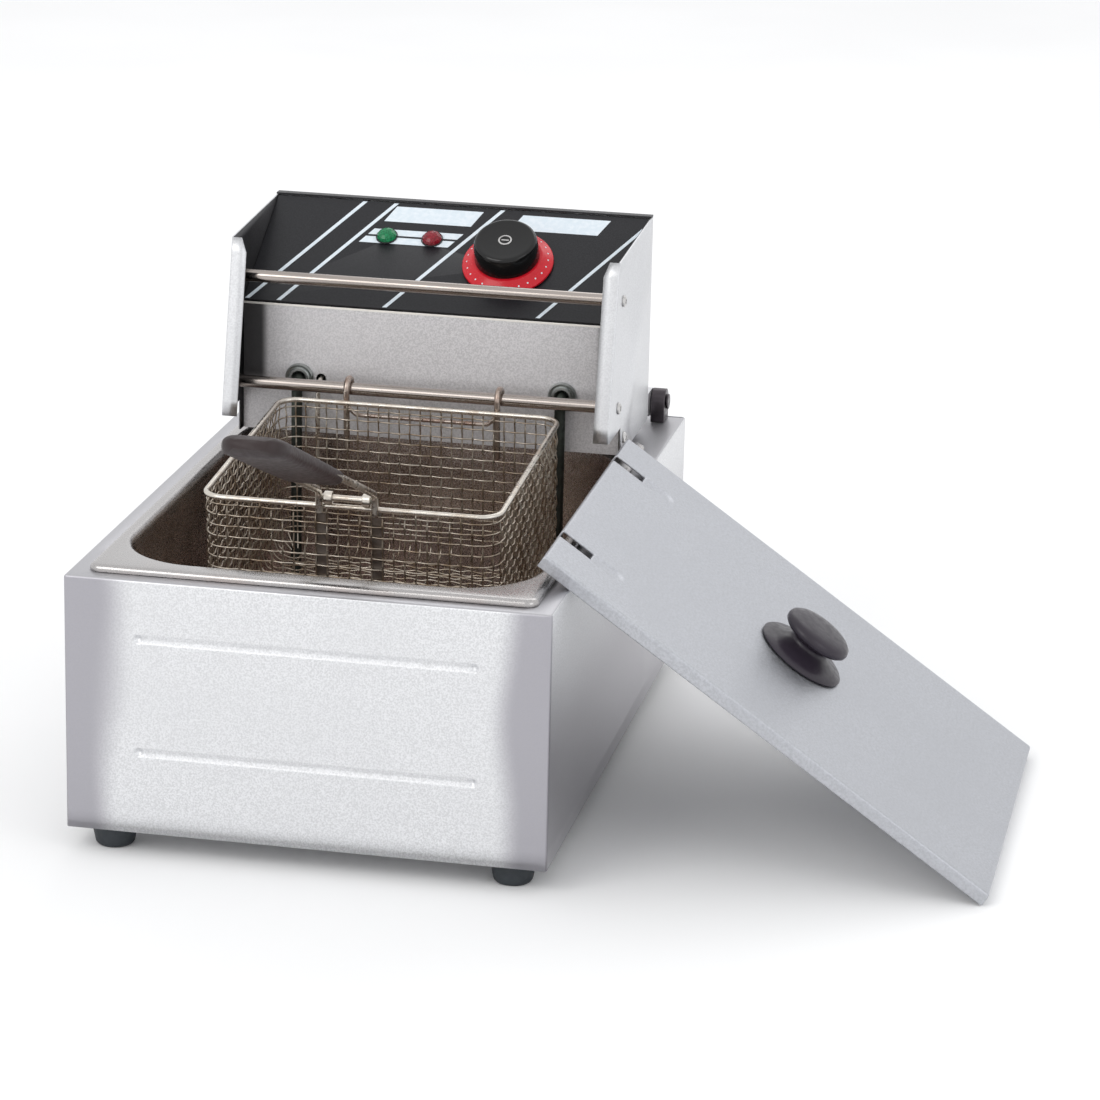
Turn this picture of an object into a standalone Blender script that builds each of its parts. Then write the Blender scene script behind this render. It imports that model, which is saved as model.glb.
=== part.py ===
"""Countertop electric deep fryer with a tilting control head, hanging basket and leaning lid.

Metres, +Z up. The model is drawn with X centred on the body, Y = 0 at the front face and Z = 0 on
the table, and is moved at the end so that its footprint is centred on the origin.
"""
from math import cos, pi, radians, sin, tan

import bmesh
import bpy
from mathutils import Matrix, Vector

# ---------------------------------------------------------------- common clearances
GAP = 0.0003            # between pieces that touch
RUN = 0.0006            # running clearance of a moving fit
SHEET = 0.0012          # stainless sheet
DRILL_REACH = 0.010     # how far cutters stand out of what they cut

# ---------------------------------------------------------------- body
BODY_W = 0.288
BODY_D = 0.440
BODY_H = 0.155
FOOT_H = 0.015
FOOT_TOP_R = 0.0140
FOOT_END_R = 0.0113
FOOT_INSET = 0.0235     # from the body's sides
FOOT_INSET_Y = 0.0200   # from the body's front and rear
BEAD_LEN = BODY_W - 0.083 # pressed grooves in the front
BEAD_R = 0.0028
BEAD_DEPTH = 0.0006
BEAD_HIGH = 0.1195      # heights above the body's lower edge
BEAD_LOW = 0.050
DECK_Z = FOOT_H + BODY_H

# ---------------------------------------------------------------- oil tank
TANK_OPEN_W = BODY_W - 0.043
TANK_OPEN_D = BODY_D - 0.1215
TANK_FRONT = 0.0265     # from the body's front to the opening
TANK_SIDE_RIM = 0.0105
TANK_FRONT_RIM = 0.0165
TANK_REAR_RIM = 0.012
TANK_CORNER = 0.048
TANK_DEPTH = 0.140
TANK_DRAFT = 0.006      # the walls lean in by this much at the bottom
RIM_H = 0.004
RIM_CORNER = 0.006
HOLE_ROOM = 0.003       # between the tank's wall and the deck's cut-out

# ---------------------------------------------------------------- control head
HEAD_W = BODY_W - 0.038
HEAD_REAR = BODY_D - 0.037
HEAD_FRONT = HEAD_REAR - 0.092     # steel front panel
HEAD_LIFT = 0.007       # underside above the deck
FASCIA_TILT = radians(30.5)
FASCIA_LOW_Z = 0.262
FASCIA_LEN = 0.099
WING_TOP_Y = HEAD_FRONT - 0.022     # front edge of the side plates, top and bottom
WING_TOP_DROP = 0.005   # their top edge falls this much towards the front
WING_LOW_Y = HEAD_FRONT - 0.047
WING_LOW_Z = 0.197
WING_STEP_Y = HEAD_FRONT - 0.006    # below the flange the plates step back to here
WING_LIP = 0.010
ROD_R = 0.004
UPPER_ROD = (HEAD_FRONT - 0.009, 0.280)
LOWER_ROD = (HEAD_FRONT - 0.018, 0.2128)
SCREW_HEAD_R = 0.0040
SCREW_HEAD_H = 0.0018
SCREW_R = 0.0020
SCREW_IN = 0.010        # thread length in a rod's end

# ---------------------------------------------------------------- hinge at the rear
HINGE_Y = BODY_D - 0.012
HINGE_Z = 0.183
PIN_R = 0.0030
EAR_T = 0.009
EAR_R = 0.0085
EAR_ROOM = 0.0005
ARM_T = 0.005
PIN_HEAD_R = 0.0050
PIN_HEAD_T = 0.0015

# ---------------------------------------------------------------- heating element
ELEMENT_R = 0.0035
LEG_X = HEAD_W / 2 - 0.039
LEG_Y = HEAD_FRONT - 0.0075
GLAND_Z = 0.213
GLAND_R = 0.0093
GLAND_T = 0.0030
GLAND_NECK_R = 0.0060
GLAND_FLARE = 0.0028    # the bore widens towards the tube's bend
NUT_R = 0.0100
NUT_T = 0.0050
ELEMENT_Z = 0.060
ELEMENT_FRONT = 0.080
ELEMENT_BACK = HEAD_FRONT - 0.049
LEG_BEND = 0.0075
FLOOR_BEND = 0.016
TURN_X = LEG_X / 3
BULB_R = 0.0030
BULB_LEN = 0.080
BULB_X = 0.014 - LEG_X   # where its tube comes down, beside the left leg
BULB_BEND = 0.010

# ---------------------------------------------------------------- dial and lamps
DIAL_X = 0.0404
DIAL_UP = 0.048         # along the fascia from its lower edge
RING_R = 0.0295
RING_TOP_R = 0.0225
RING_H = 0.0060
KNOB_R = 0.0210
KNOB_TOP_R = 0.0200
KNOB_H = 0.0150
KNOB_BORE = 0.0100
SHAFT_R = 0.0030
SHAFT_HOLE = 0.0006
DIAL_LIFT = 0.0008
LAMP_UP = 0.0660
LAMP_X = -0.0283
LAMP_PITCH = 0.0300
LENS_R = 0.0062
LENS_H = 0.0045
BEZEL_R = 0.0070
BEZEL_H = 0.0012
LAMP_BODY_R = 0.0048
LAMP_BODY_H = 0.0240

# ---------------------------------------------------------------- basket and handle
BASKET_W = BODY_W - 0.104
BASKET_D = BODY_D - 0.254
BASKET_H = 0.100
BASKET_CORNER = 0.014
BASKET_WALL = 0.0016
BASKET_TILT = radians(4.0)
BASKET_DROP = 0.0062    # rim below the rod's centre
RIM_WIRE_R = 0.0017
HOOK_WIRE_R = 0.0020
BRACE_WIRE_R = 0.0014
HOOK_X = BASKET_W / 2 - 0.043
HOOK_LEG = 0.038        # legs below the rod's centre
BRACE_DROP = 0.015      # brace between the legs, below the rod's centre
BRACE_KICK = 0.006      # its ends bend up to the legs over this length
STRAP_X = 0.0170
STRAP_W = 0.0075
STRAP_T = 0.0010
STRAP_LEN = 0.080
HANDLE_WIRE_R = 0.0022
PIVOT_BAR_R = 0.0021
HANDLE_BACK = 0.0025    # pivot bar behind the legs
HANDLE_RISE = 0.005     # bend above the pivot
HANDLE_FOOT = 0.009     # legs reach this far below the pivot
HANDLE_BEND = 0.006
EYE_WALL = 0.0012
EYE_W = 0.005
HANDLE_TILT = radians(26.2)
HANDLE_REACH = 0.081    # wire from its bend to the grip
GRIP_LEN = 0.150
GRIP_W = 0.040
GRIP_T = 0.0120
GRIP_SINK = 0.030       # wire inside the grip

# ---------------------------------------------------------------- lid
LID_L = 0.322
LID_W = BODY_W - 0.028
LID_EDGE = 0.008
LID_LEAN = radians(34.6)
LID_Y = 0.178           # centre of the leaning lid
SLOT_W = 0.0115
SLOT_L = 0.023
SLOT_Y = LEG_X - 0.0025 # a little inside the element's legs
LIDKNOB_R = 0.0285
LIDKNOB_TOP_R = 0.0220
LIDKNOB_WAIST_R = 0.0125
LIDKNOB_H = 0.0230

# ---------------------------------------------------------------- parts inside the head
THERMOSTAT = (0.046, 0.040, 0.026)
TERMINAL = (0.070, 0.024, 0.020)
TERMINAL_X = 0.030
TERMINAL_BACK = 0.030   # its middle, from the head's rear
LIMITER = (0.040, 0.036, 0.026)
SWITCH = (0.028, 0.010, 0.016)
SWITCH_BACK = 0.060
BUTTON_R = 0.0050
BUTTON_X = -0.060
BUTTON_Z = 0.240
BUTTON_OUT = 0.006
BUTTON_IN = 0.004
BUTTON_TRAVEL = 0.004
CORD_GLAND_R = 0.0090
CORD_GLAND_NECK_R = 0.0060
CORD_GLAND_BORE_R = 0.0035
CORD_GLAND_X = 0.070
CORD_GLAND_Z = 0.205

# ---------------------------------------------------------------- derived places
HEAD_Z = DECK_Z + HEAD_LIFT
FASCIA_DY = FASCIA_LEN * cos(FASCIA_TILT)
FASCIA_DZ = FASCIA_LEN * sin(FASCIA_TILT)
FASCIA_TOP_Y = HEAD_FRONT + FASCIA_DY
FASCIA_TOP_Z = FASCIA_LOW_Z + FASCIA_DZ
TANK_REAR = TANK_FRONT + TANK_OPEN_D
RIM_TOP = DECK_Z + GAP + RIM_H
WALL_X = HEAD_W / 2 - SHEET


# ================================================================ helpers
def clear_scene():
    for obj in list(bpy.data.objects):
        bpy.data.objects.remove(obj, do_unlink=True)


def finish(name, rgb, roughness, metallic):
    mat = bpy.data.materials.new(name)
    mat.use_nodes = True
    shader = mat.node_tree.nodes["Principled BSDF"]
    shader.inputs["Base Color"].default_value = (*rgb, 1.0)
    shader.inputs["Roughness"].default_value = roughness
    shader.inputs["Metallic"].default_value = metallic
    return mat


def look(kind):
    """Each node gets its own copy of a finish."""
    looks = {
        "satin steel": ((0.62, 0.62, 0.64), 0.38, 1.0),
        "bright steel": ((0.70, 0.69, 0.67), 0.22, 1.0),
        "wire": ((0.55, 0.50, 0.44), 0.30, 1.0),
        "element": ((0.10, 0.12, 0.11), 0.55, 0.8),
        "black panel": ((0.02, 0.02, 0.022), 0.45, 0.0),
        "black plastic": ((0.03, 0.028, 0.03), 0.40, 0.0),
        "gloss black": ((0.015, 0.015, 0.015), 0.12, 0.0),
        "red plastic": ((0.75, 0.03, 0.06), 0.20, 0.0),
        "green lens": ((0.02, 0.45, 0.12), 0.10, 0.0),
        "red lens": ((0.50, 0.02, 0.04), 0.10, 0.0),
        "rubber": ((0.03, 0.035, 0.045), 0.60, 0.0),
        "bakelite": ((0.06, 0.045, 0.05), 0.40, 0.0),
        "ceramic": ((0.80, 0.78, 0.72), 0.50, 0.0),
        "brass": ((0.72, 0.55, 0.25), 0.35, 1.0),
    }
    return finish(kind, *looks[kind])


def put(name, mesh_or_curve, kind, parent=None):
    obj = bpy.data.objects.new(name, mesh_or_curve)
    obj.data.materials.append(look(kind))
    bpy.context.scene.collection.objects.link(obj)
    if parent is not None:
        obj.parent = parent
        obj.matrix_parent_inverse = parent.matrix_world.inverted()
    return obj


def pivot(name, place, turn=None, parent=None):
    """An empty on a joint's axis. Its pieces are drawn in world places and parented to it."""
    empty = bpy.data.objects.new(name, None)
    empty.matrix_world = Matrix.Translation(place) @ (turn or Matrix.Identity(4))
    bpy.context.scene.collection.objects.link(empty)
    bpy.context.view_layer.update()
    if parent is not None:
        world = empty.matrix_world.copy()
        empty.parent = parent
        empty.matrix_parent_inverse = parent.matrix_world.inverted()
        empty.matrix_world = world
        bpy.context.view_layer.update()
    return empty


def mesh_of(bm, smooth=None):
    mesh = bpy.data.meshes.new("shape")
    bmesh.ops.recalc_face_normals(bm, faces=bm.faces)
    bm.to_mesh(mesh)
    bm.free()
    if smooth:
        mesh.shade_smooth()
        mesh.set_sharp_from_angle(angle=radians(smooth))
    return mesh


def box_mesh(x0, x1, y0, y1, z0, z1):
    bm = bmesh.new()
    bmesh.ops.create_cube(bm, size=1.0)
    size = Matrix.Diagonal((x1 - x0, y1 - y0, z1 - z0, 1))
    bm.transform(Matrix.Translation(((x0 + x1) / 2, (y0 + y1) / 2, (z0 + z1) / 2)) @ size)
    return mesh_of(bm)


def aim(axis):
    """Turn that takes +Z to the axis."""
    return Vector(axis).to_track_quat("Z", "Y").to_matrix().to_4x4()


def turned_mesh(profile, place, axis, sides=24):
    """A closed (radius, height) profile, from the axis at the bottom to the axis at the top, spun."""
    bm = bmesh.new()
    rings = []
    for radius, height in profile:
        if radius < 1e-9:
            rings.append([bm.verts.new((0, 0, height))])
        else:
            turn = [2 * pi * k / sides for k in range(sides)]
            rings.append([bm.verts.new((radius * cos(a), radius * sin(a), height)) for a in turn])
    for low, high in zip(rings, rings[1:]):
        for k in range(sides):
            n = (k + 1) % sides
            if len(low) == 1:
                bm.faces.new((low[0], high[n], high[k]))
            elif len(high) == 1:
                bm.faces.new((low[k], low[n], high[0]))
            else:
                bm.faces.new((low[k], low[n], high[n], high[k]))
    bm.transform(Matrix.Translation(place) @ aim(axis))
    return mesh_of(bm, 40)


def rod_profile(radius, height):
    return [(0, 0), (radius, 0), (radius, height), (0, height)]


def plate_mesh(outline, along, start, thick):
    """A flat outline in the plane square to X, Y or Z, extruded along it from start."""
    place = {"x": lambda a, b, t: (t, a, b), "y": lambda a, b, t: (a, t, b), "z": lambda a, b, t: (a, b, t)}
    bm = bmesh.new()
    low = [bm.verts.new(place[along](a, b, start)) for a, b in outline]
    high = [bm.verts.new(place[along](a, b, start + thick)) for a, b in outline]
    bm.faces.new(low)
    bm.faces.new(high)
    for k in range(len(outline)):
        n = (k + 1) % len(outline)
        bm.faces.new((low[k], low[n], high[n], high[k]))
    return mesh_of(bm)


def rounded(x0, x1, y0, y1, r, steps=6):
    """A rectangle with round corners, counter-clockwise."""
    corners = ((x1 - r, y0 + r, -90), (x1 - r, y1 - r, 0), (x0 + r, y1 - r, 90), (x0 + r, y0 + r, 180))
    points = []
    for cx, cy, start in corners:
        for k in range(steps + 1):
            a = radians(start + 90 * k / steps)
            points.append((cx + r * cos(a), cy + r * sin(a)))
    return points


def lofted_mesh(rings, smooth=None):
    """Rings of equal length, each (outline, height), joined in turn and capped at both ends."""
    bm = bmesh.new()
    loops = [[bm.verts.new((x, y, z)) for x, y in outline] for outline, z in rings]
    for low, high in zip(loops, loops[1:]):
        for k in range(len(low)):
            n = (k + 1) % len(low)
            bm.faces.new((low[k], low[n], high[n], high[k]))
    bm.faces.new(loops[0])
    bm.faces.new(loops[-1])
    return mesh_of(bm, smooth)


def wire(name, points, radius, kind, parent=None, closed=False, resolution=2):
    curve = bpy.data.curves.new(name, "CURVE")
    curve.dimensions = "3D"
    curve.bevel_depth = radius
    curve.bevel_resolution = resolution
    curve.use_fill_caps = not closed
    spline = curve.splines.new("POLY")
    spline.points.add(len(points) - 1)
    for point, place in zip(spline.points, points):
        point.co = (*place, 1)
    spline.use_cyclic_u = closed
    return put(name, curve, kind, parent)


def arc(centre, along, side, radius, start, end, steps=5):
    """Points on an arc: angle 0 points along the first direction and 90 along the second."""
    along, side, centre = Vector(along), Vector(side), Vector(centre)
    angles = [radians(start + (end - start) * k / steps) for k in range(steps + 1)]
    return [tuple(centre + along * radius * cos(a) + side * radius * sin(a)) for a in angles]


def cut(obj, mesh, operation="DIFFERENCE"):
    tool = bpy.data.objects.new(obj.name + "_cutter", mesh)
    bpy.context.scene.collection.objects.link(tool)
    tool.hide_render = True
    tool.display_type = "WIRE"
    mod = obj.modifiers.new("cut", "BOOLEAN")
    mod.object = tool
    mod.operation = operation
    mod.solver = "EXACT"


def rod_mesh(radius, start, end, sides=24):
    start, end = Vector(start), Vector(end)
    return turned_mesh(rod_profile(radius, (end - start).length), start, end - start, sides)


def drill(obj, radius, place, axis, sides=24):
    """A round hole through a wall, along the axis."""
    reach = Vector(axis) * DRILL_REACH
    cut(obj, rod_mesh(radius, Vector(place) - reach, Vector(place) + reach, sides))


# ================================================================ body
def body():
    half, inner = BODY_W / 2, BODY_W / 2 - SHEET
    rear = BODY_D - SHEET - GAP
    casing = put("body_casing", box_mesh(-half, half, 0, rear, FOOT_H, DECK_Z), "satin steel")
    beyond, below = rear + DRILL_REACH, FOOT_H - DRILL_REACH
    cut(casing, box_mesh(-inner, inner, SHEET, beyond, below, DECK_Z - SHEET))
    cut(casing, deck_hole())
    for height in (BEAD_LOW, BEAD_HIGH):
        cut(casing, bead(FOOT_H + height))
    put("rear_panel", box_mesh(-half, half, BODY_D - SHEET, BODY_D, FOOT_H, DECK_Z), "satin steel")
    edge = inner - GAP
    put("base_plate", box_mesh(-edge, edge, SHEET + GAP, rear - GAP, FOOT_H, FOOT_H + SHEET), "satin steel")
    for side, x in (("left", -half + FOOT_INSET), ("right", half - FOOT_INSET)):
        for end, y in (("front", FOOT_INSET_Y), ("rear", BODY_D - FOOT_INSET_Y)):
            foot(f"foot_{end}_{side}", x, y)


def deck_hole():
    room = HOLE_ROOM + SHEET
    x = TANK_OPEN_W / 2 + room
    outline = rounded(-x, x, TANK_FRONT - room, TANK_REAR + room, TANK_CORNER + room)
    return plate_mesh(outline, "z", DECK_Z - DRILL_REACH, 2 * DRILL_REACH)


def bead(height):
    """A pressed groove with round ends, its bottom the bead's depth inside the front face."""
    half = BEAD_LEN / 2 - BEAD_R
    outline = [(half + BEAD_R * cos(a), height + BEAD_R * sin(a)) for a in
               [radians(-90 + 22.5 * k) for k in range(9)]]
    outline += [(-x, 2 * height - z) for x, z in outline]
    return plate_mesh(outline, "y", -DRILL_REACH, DRILL_REACH + BEAD_DEPTH)


def foot(name, x, y):
    top = FOOT_H - GAP
    shape = [(0, 0), (FOOT_END_R - 0.001, 0), (FOOT_END_R, 0.001), (FOOT_TOP_R, top), (0, top)]
    put(name, turned_mesh(shape, (x, y, 0), (0, 0, 1), 20), "rubber")


def tank():
    """One drawn pan: a rim with a turned-down edge, round corners and a flat bottom."""
    def ring(grow, z, corner=None, lean=0.0):
        x = TANK_OPEN_W / 2 + grow - lean
        corner = TANK_CORNER + grow if corner is None else corner
        return rounded(-x, x, TANK_FRONT - grow + lean, TANK_REAR + grow - lean, corner), z

    def edge(inset, z):
        x = TANK_OPEN_W / 2 + TANK_SIDE_RIM - inset
        front = TANK_FRONT - TANK_FRONT_RIM + inset
        rear = TANK_REAR + TANK_REAR_RIM - inset
        return rounded(-x, x, front, rear, RIM_CORNER - min(inset, RIM_CORNER - 0.001)), z

    low, foot_z = DECK_Z + GAP, RIM_TOP - TANK_DEPTH
    soft = 0.010
    rings = [
        ring(-soft, foot_z, lean=TANK_DRAFT),
        ring(-soft * 0.3, foot_z + soft * 0.3, lean=TANK_DRAFT),
        ring(0, foot_z + soft, lean=TANK_DRAFT),
        ring(0, RIM_TOP - 0.004),
        ring(0.0012, RIM_TOP - 0.0012),
        ring(0.004, RIM_TOP),
        edge(0.0015, RIM_TOP),
        edge(0.0, RIM_TOP - 0.0015),
        edge(0.0, low),
        edge(SHEET, low),
        edge(SHEET, RIM_TOP - SHEET),
        ring(0.004, RIM_TOP - SHEET),
        ring(SHEET, RIM_TOP - 0.004),
        ring(SHEET, foot_z + soft, lean=TANK_DRAFT),
        ring(SHEET - soft * 0.3, foot_z + soft * 0.3 - SHEET, lean=TANK_DRAFT),
        ring(SHEET - soft, foot_z - SHEET, lean=TANK_DRAFT),
    ]
    put("oil_tank", lofted_mesh(rings, 30), "bright steel")


# ================================================================ rear hinge
def hinge():
    """Two ears stand on the deck. A pin through each carries an arm of the head."""
    for side, s in (("left", -1), ("right", 1)):
        outer = s * (HEAD_W / 2 + EAR_T - 0.001)
        inner = outer - s * EAR_T
        outline = [(HINGE_Y + EAR_R * cos(a), HINGE_Z + EAR_R * sin(a))
                   for a in [radians(22.5 * k) for k in range(9)]]
        outline += [(HINGE_Y - EAR_R, DECK_Z + GAP), (HINGE_Y + EAR_R, DECK_Z + GAP)]
        ear = put(f"hinge_ear_{side}", plate_mesh(outline, "x", min(inner, outer), EAR_T), "black plastic")
        far = inner - s * (EAR_ROOM + ARM_T + GAP)
        drill(ear, PIN_R + GAP, (inner, HINGE_Y, HINGE_Z), (s, 0, 0))
        pin_out = outer + s * GAP
        length = abs(pin_out - far)
        shape = [(0, 0), (PIN_R, 0), (PIN_R, length), (PIN_HEAD_R, length),
                 (PIN_HEAD_R, length + PIN_HEAD_T), (0, length + PIN_HEAD_T)]
        put(f"hinge_pin_{side}", turned_mesh(shape, (far, HINGE_Y, HINGE_Z), (s, 0, 0)), "bright steel")


def hinge_arms(head):
    for side, s in (("left", -1), ("right", 1)):
        outer = s * (HEAD_W / 2 - 0.001 - EAR_ROOM)
        inner = outer - s * ARM_T
        top = [(HINGE_Y + EAR_R * cos(a), HINGE_Z + EAR_R * sin(a))
               for a in [radians(-90 + 22.5 * k) for k in range(9)]]
        root = HEAD_REAR + GAP
        outline = top + [(root, HINGE_Z + EAR_R), (root, HINGE_Z - EAR_R + 0.003),
                         (HINGE_Y - 0.008, HINGE_Z - EAR_R)]
        shape = plate_mesh(outline, "x", min(inner, outer), ARM_T)
        arm = put(f"hinge_arm_{side}", shape, "satin steel", head)
        drill(arm, PIN_R + RUN, (inner, HINGE_Y, HINGE_Z), (s, 0, 0))


# ================================================================ head shell
def fascia_point(x, up, out=0.0):
    """A point on the sloped control panel: up from its lower edge, out along its normal."""
    return Vector((x,
                   HEAD_FRONT + up * cos(FASCIA_TILT) - out * sin(FASCIA_TILT),
                   FASCIA_LOW_Z + up * sin(FASCIA_TILT) + out * cos(FASCIA_TILT)))


FASCIA_NORMAL = Vector((0, -sin(FASCIA_TILT), cos(FASCIA_TILT)))


def wing_outline():
    top = FASCIA_TOP_Z
    return [(HEAD_REAR - SHEET - GAP, HEAD_Z), (HEAD_REAR - SHEET - GAP, top), (FASCIA_TOP_Y, top),
            (WING_TOP_Y, top - WING_TOP_DROP), (WING_LOW_Y, WING_LOW_Z), (WING_STEP_Y, WING_LOW_Z),
            (WING_STEP_Y, HEAD_Z)]


def side_plates(head):
    for side, s in (("left", -1), ("right", 1)):
        x = s * HEAD_W / 2
        plate = put(f"head_side_{side}", plate_mesh(wing_outline(), "x", min(x, x - s * SHEET), SHEET),
                    "satin steel", head)
        cut(plate, lip_mesh(s), "UNION")
        for y, z in (UPPER_ROD, LOWER_ROD):
            out, deep = x + s * DRILL_REACH, x - s * (SHEET + 0.0015)
            cut(plate, rod_mesh(SCREW_R + GAP, (out, y, z), (deep, y, z), 16))


def lip_mesh(s):
    """The front lip: a strip along the wing's leaning front edge, turned inwards. It grows from
    the middle of the plate's thickness and stays just inside its edges, so the two fuse cleanly."""
    inside = 0.0002
    lean = (WING_TOP_Y - WING_LOW_Y) / (FASCIA_TOP_Z - WING_TOP_DROP - WING_LOW_Z)
    top, low = FASCIA_TOP_Z - WING_TOP_DROP - 0.002, WING_LOW_Z + inside
    front_top = WING_TOP_Y - 0.002 * lean + inside
    front_low = WING_LOW_Y + inside * (1 + lean)
    outline = [(front_top, top), (front_low, low), (front_low + SHEET, low), (front_top + SHEET, top)]
    near, far = s * (HEAD_W / 2 - SHEET / 2), s * (HEAD_W / 2 - WING_LIP)
    return plate_mesh(outline, "x", min(near, far), abs(near - far))


def head_shell(head):
    x = WALL_X - GAP
    under_fascia = FASCIA_LOW_Z - SHEET * cos(FASCIA_TILT) - GAP
    panel = put("head_front_panel",
                box_mesh(-x, x, HEAD_FRONT, HEAD_FRONT + SHEET, HEAD_Z, under_fascia), "satin steel", head)
    for s in (-1, 1):
        drill(panel, GLAND_NECK_R + GAP, (s * LEG_X, HEAD_FRONT, GLAND_Z), (0, 1, 0))
    drill(panel, BULB_R + GAP, (BULB_X, HEAD_FRONT, GLAND_Z), (0, 1, 0), 12)

    low, high = fascia_point(0, GAP), fascia_point(0, FASCIA_LEN - GAP)
    low_in, high_in = fascia_point(0, GAP, -SHEET), fascia_point(0, FASCIA_LEN - GAP, -SHEET)
    outline = [(p.y, p.z) for p in (low, high, high_in, low_in)]
    fascia = put("control_panel", plate_mesh(outline, "x", -x, 2 * x), "black panel", head)
    holes = [(DIAL_X, DIAL_UP, SHAFT_R + SHAFT_HOLE)]
    holes += [(LAMP_X + s * LAMP_PITCH / 2, LAMP_UP, LAMP_BODY_R + GAP) for s in (-1, 1)]
    for hole_x, up, radius in holes:
        drill(fascia, radius, fascia_point(hole_x, up), FASCIA_NORMAL)

    cover = put("head_rear_cover", rear_cover_mesh(), "satin steel", head)
    drill(cover, BUTTON_R + RUN, (BUTTON_X, HEAD_REAR, BUTTON_Z), (0, 1, 0))
    drill(cover, CORD_GLAND_NECK_R + GAP, (CORD_GLAND_X, HEAD_REAR, CORD_GLAND_Z), (0, 1, 0))
    front, back = HEAD_FRONT + SHEET + GAP, HEAD_REAR - SHEET - GAP
    put("head_floor", box_mesh(-x, x, front, back, HEAD_Z, HEAD_Z + SHEET), "satin steel", head)


def rear_cover_mesh():
    """The back of the head, folded forwards over the top as far as the control panel."""
    half = HEAD_W / 2
    top = FASCIA_TOP_Z + GAP
    outline = [(HEAD_REAR, HEAD_Z), (HEAD_REAR, top + SHEET), (FASCIA_TOP_Y + GAP, top + SHEET),
               (FASCIA_TOP_Y + GAP, top), (HEAD_REAR - SHEET, top), (HEAD_REAR - SHEET, HEAD_Z)]
    return plate_mesh(outline, "x", -half, 2 * half)


def rods(head):
    x = WALL_X - GAP
    for name, (y, z) in (("upper_rod", UPPER_ROD), ("lower_rod", LOWER_ROD)):
        rod = put(name, rod_mesh(ROD_R, (-x, y, z), (x, y, z)), "bright steel", head)
        for side, s in (("left", -1), ("right", 1)):
            deep, out = x - SCREW_IN - GAP, x + DRILL_REACH
            cut(rod, rod_mesh(SCREW_R + GAP, (s * deep, y, z), (s * out, y, z), 16))
            seat = HEAD_W / 2 + GAP
            length = seat - (x - SCREW_IN)
            shape = [(0, 0), (SCREW_R, 0), (SCREW_R, length), (SCREW_HEAD_R, length),
                     (SCREW_HEAD_R * 0.8, length + SCREW_HEAD_H), (0, length + SCREW_HEAD_H)]
            start = (s * (x - SCREW_IN), y, z)
            put(f"{name}_screw_{side}", turned_mesh(shape, start, (s, 0, 0), 16), "bright steel", head)


# ================================================================ heating element
def element_path():
    """Left leg down, along the tank floor, three turns, and up the right leg."""
    ahead, back, up, down = (0, -1, 0), (0, 1, 0), (0, 0, 1), (0, 0, -1)
    start_y = HEAD_FRONT + SHEET + GAP + NUT_T + 0.012
    left = [(-LEG_X, start_y, GLAND_Z), (-LEG_X, LEG_Y + LEG_BEND + 0.001, GLAND_Z)]
    left += arc((-LEG_X, LEG_Y + LEG_BEND, GLAND_Z - LEG_BEND), up, ahead, LEG_BEND, 0, 90)
    left += arc((-LEG_X, LEG_Y - FLOOR_BEND, ELEMENT_Z + FLOOR_BEND), back, down, FLOOR_BEND, 0, 90)
    turn = (LEG_X - TURN_X) / 2
    left += arc((-LEG_X + turn, ELEMENT_FRONT + turn, ELEMENT_Z), (-1, 0, 0), ahead, turn, 0, 180, 10)
    left += arc((0, ELEMENT_BACK - TURN_X, ELEMENT_Z), (-1, 0, 0), back, TURN_X, 0, 90, 5)
    right = [(-x, y, z) for x, y, z in reversed(left[:-1])]
    return left + right


def element(head):
    wire("heating_element", element_path(), ELEMENT_R, "element", head, resolution=2)
    for side, s in (("left", -1), ("right", 1)):
        bore = ELEMENT_R + GAP
        x = s * LEG_X
        face = HEAD_FRONT - GAP
        neck = SHEET + 2 * GAP + NUT_T
        shape = [(bore, 0), (GLAND_NECK_R, 0), (GLAND_NECK_R, neck), (GLAND_R, neck),
                 (GLAND_R, neck + GLAND_T - 0.001), (GLAND_R - 0.001, neck + GLAND_T),
                 (bore + GLAND_FLARE, neck + GLAND_T), (bore, neck - SHEET)]
        gland = ring_mesh(shape, (x, face + neck, GLAND_Z), (0, -1, 0))
        put(f"element_gland_{side}", gland, "ceramic", head)
        nut = [(GLAND_NECK_R + GAP, 0), (NUT_R, 0), (NUT_R, NUT_T), (GLAND_NECK_R + GAP, NUT_T)]
        start = (x, HEAD_FRONT + SHEET + GAP, GLAND_Z)
        put(f"element_nut_{side}", ring_mesh(nut, start, (0, 1, 0), 6 * 4), "brass", head)

    z = ELEMENT_Z + ELEMENT_R + BULB_R + 0.012
    y = ELEMENT_BACK - 0.035
    points = [(BULB_X, HEAD_FRONT + 0.030, GLAND_Z), (BULB_X, LEG_Y + 0.008, GLAND_Z)]
    points += arc((BULB_X, LEG_Y + 0.008, GLAND_Z - 0.008), (0, 0, 1), (0, -1, 0), 0.008, 0, 90)[1:]
    points += arc((BULB_X + BULB_BEND, LEG_Y, z + BULB_BEND), (-1, 0, 0), (0, 0, -1), BULB_BEND, 0, 90)
    points += arc((-BULB_BEND, LEG_Y - BULB_BEND, z), (0, 1, 0), (1, 0, 0), BULB_BEND, 0, 90)
    points += [(0, y, z), (0, y - BULB_LEN, z)]
    wire("thermostat_bulb", points, BULB_R - GAP, "wire", head)
    bracket_z = z + BULB_R + 0.0006
    put("bulb_guard", guard_mesh(y - 0.020, bracket_z), "bright steel", head)


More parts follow.
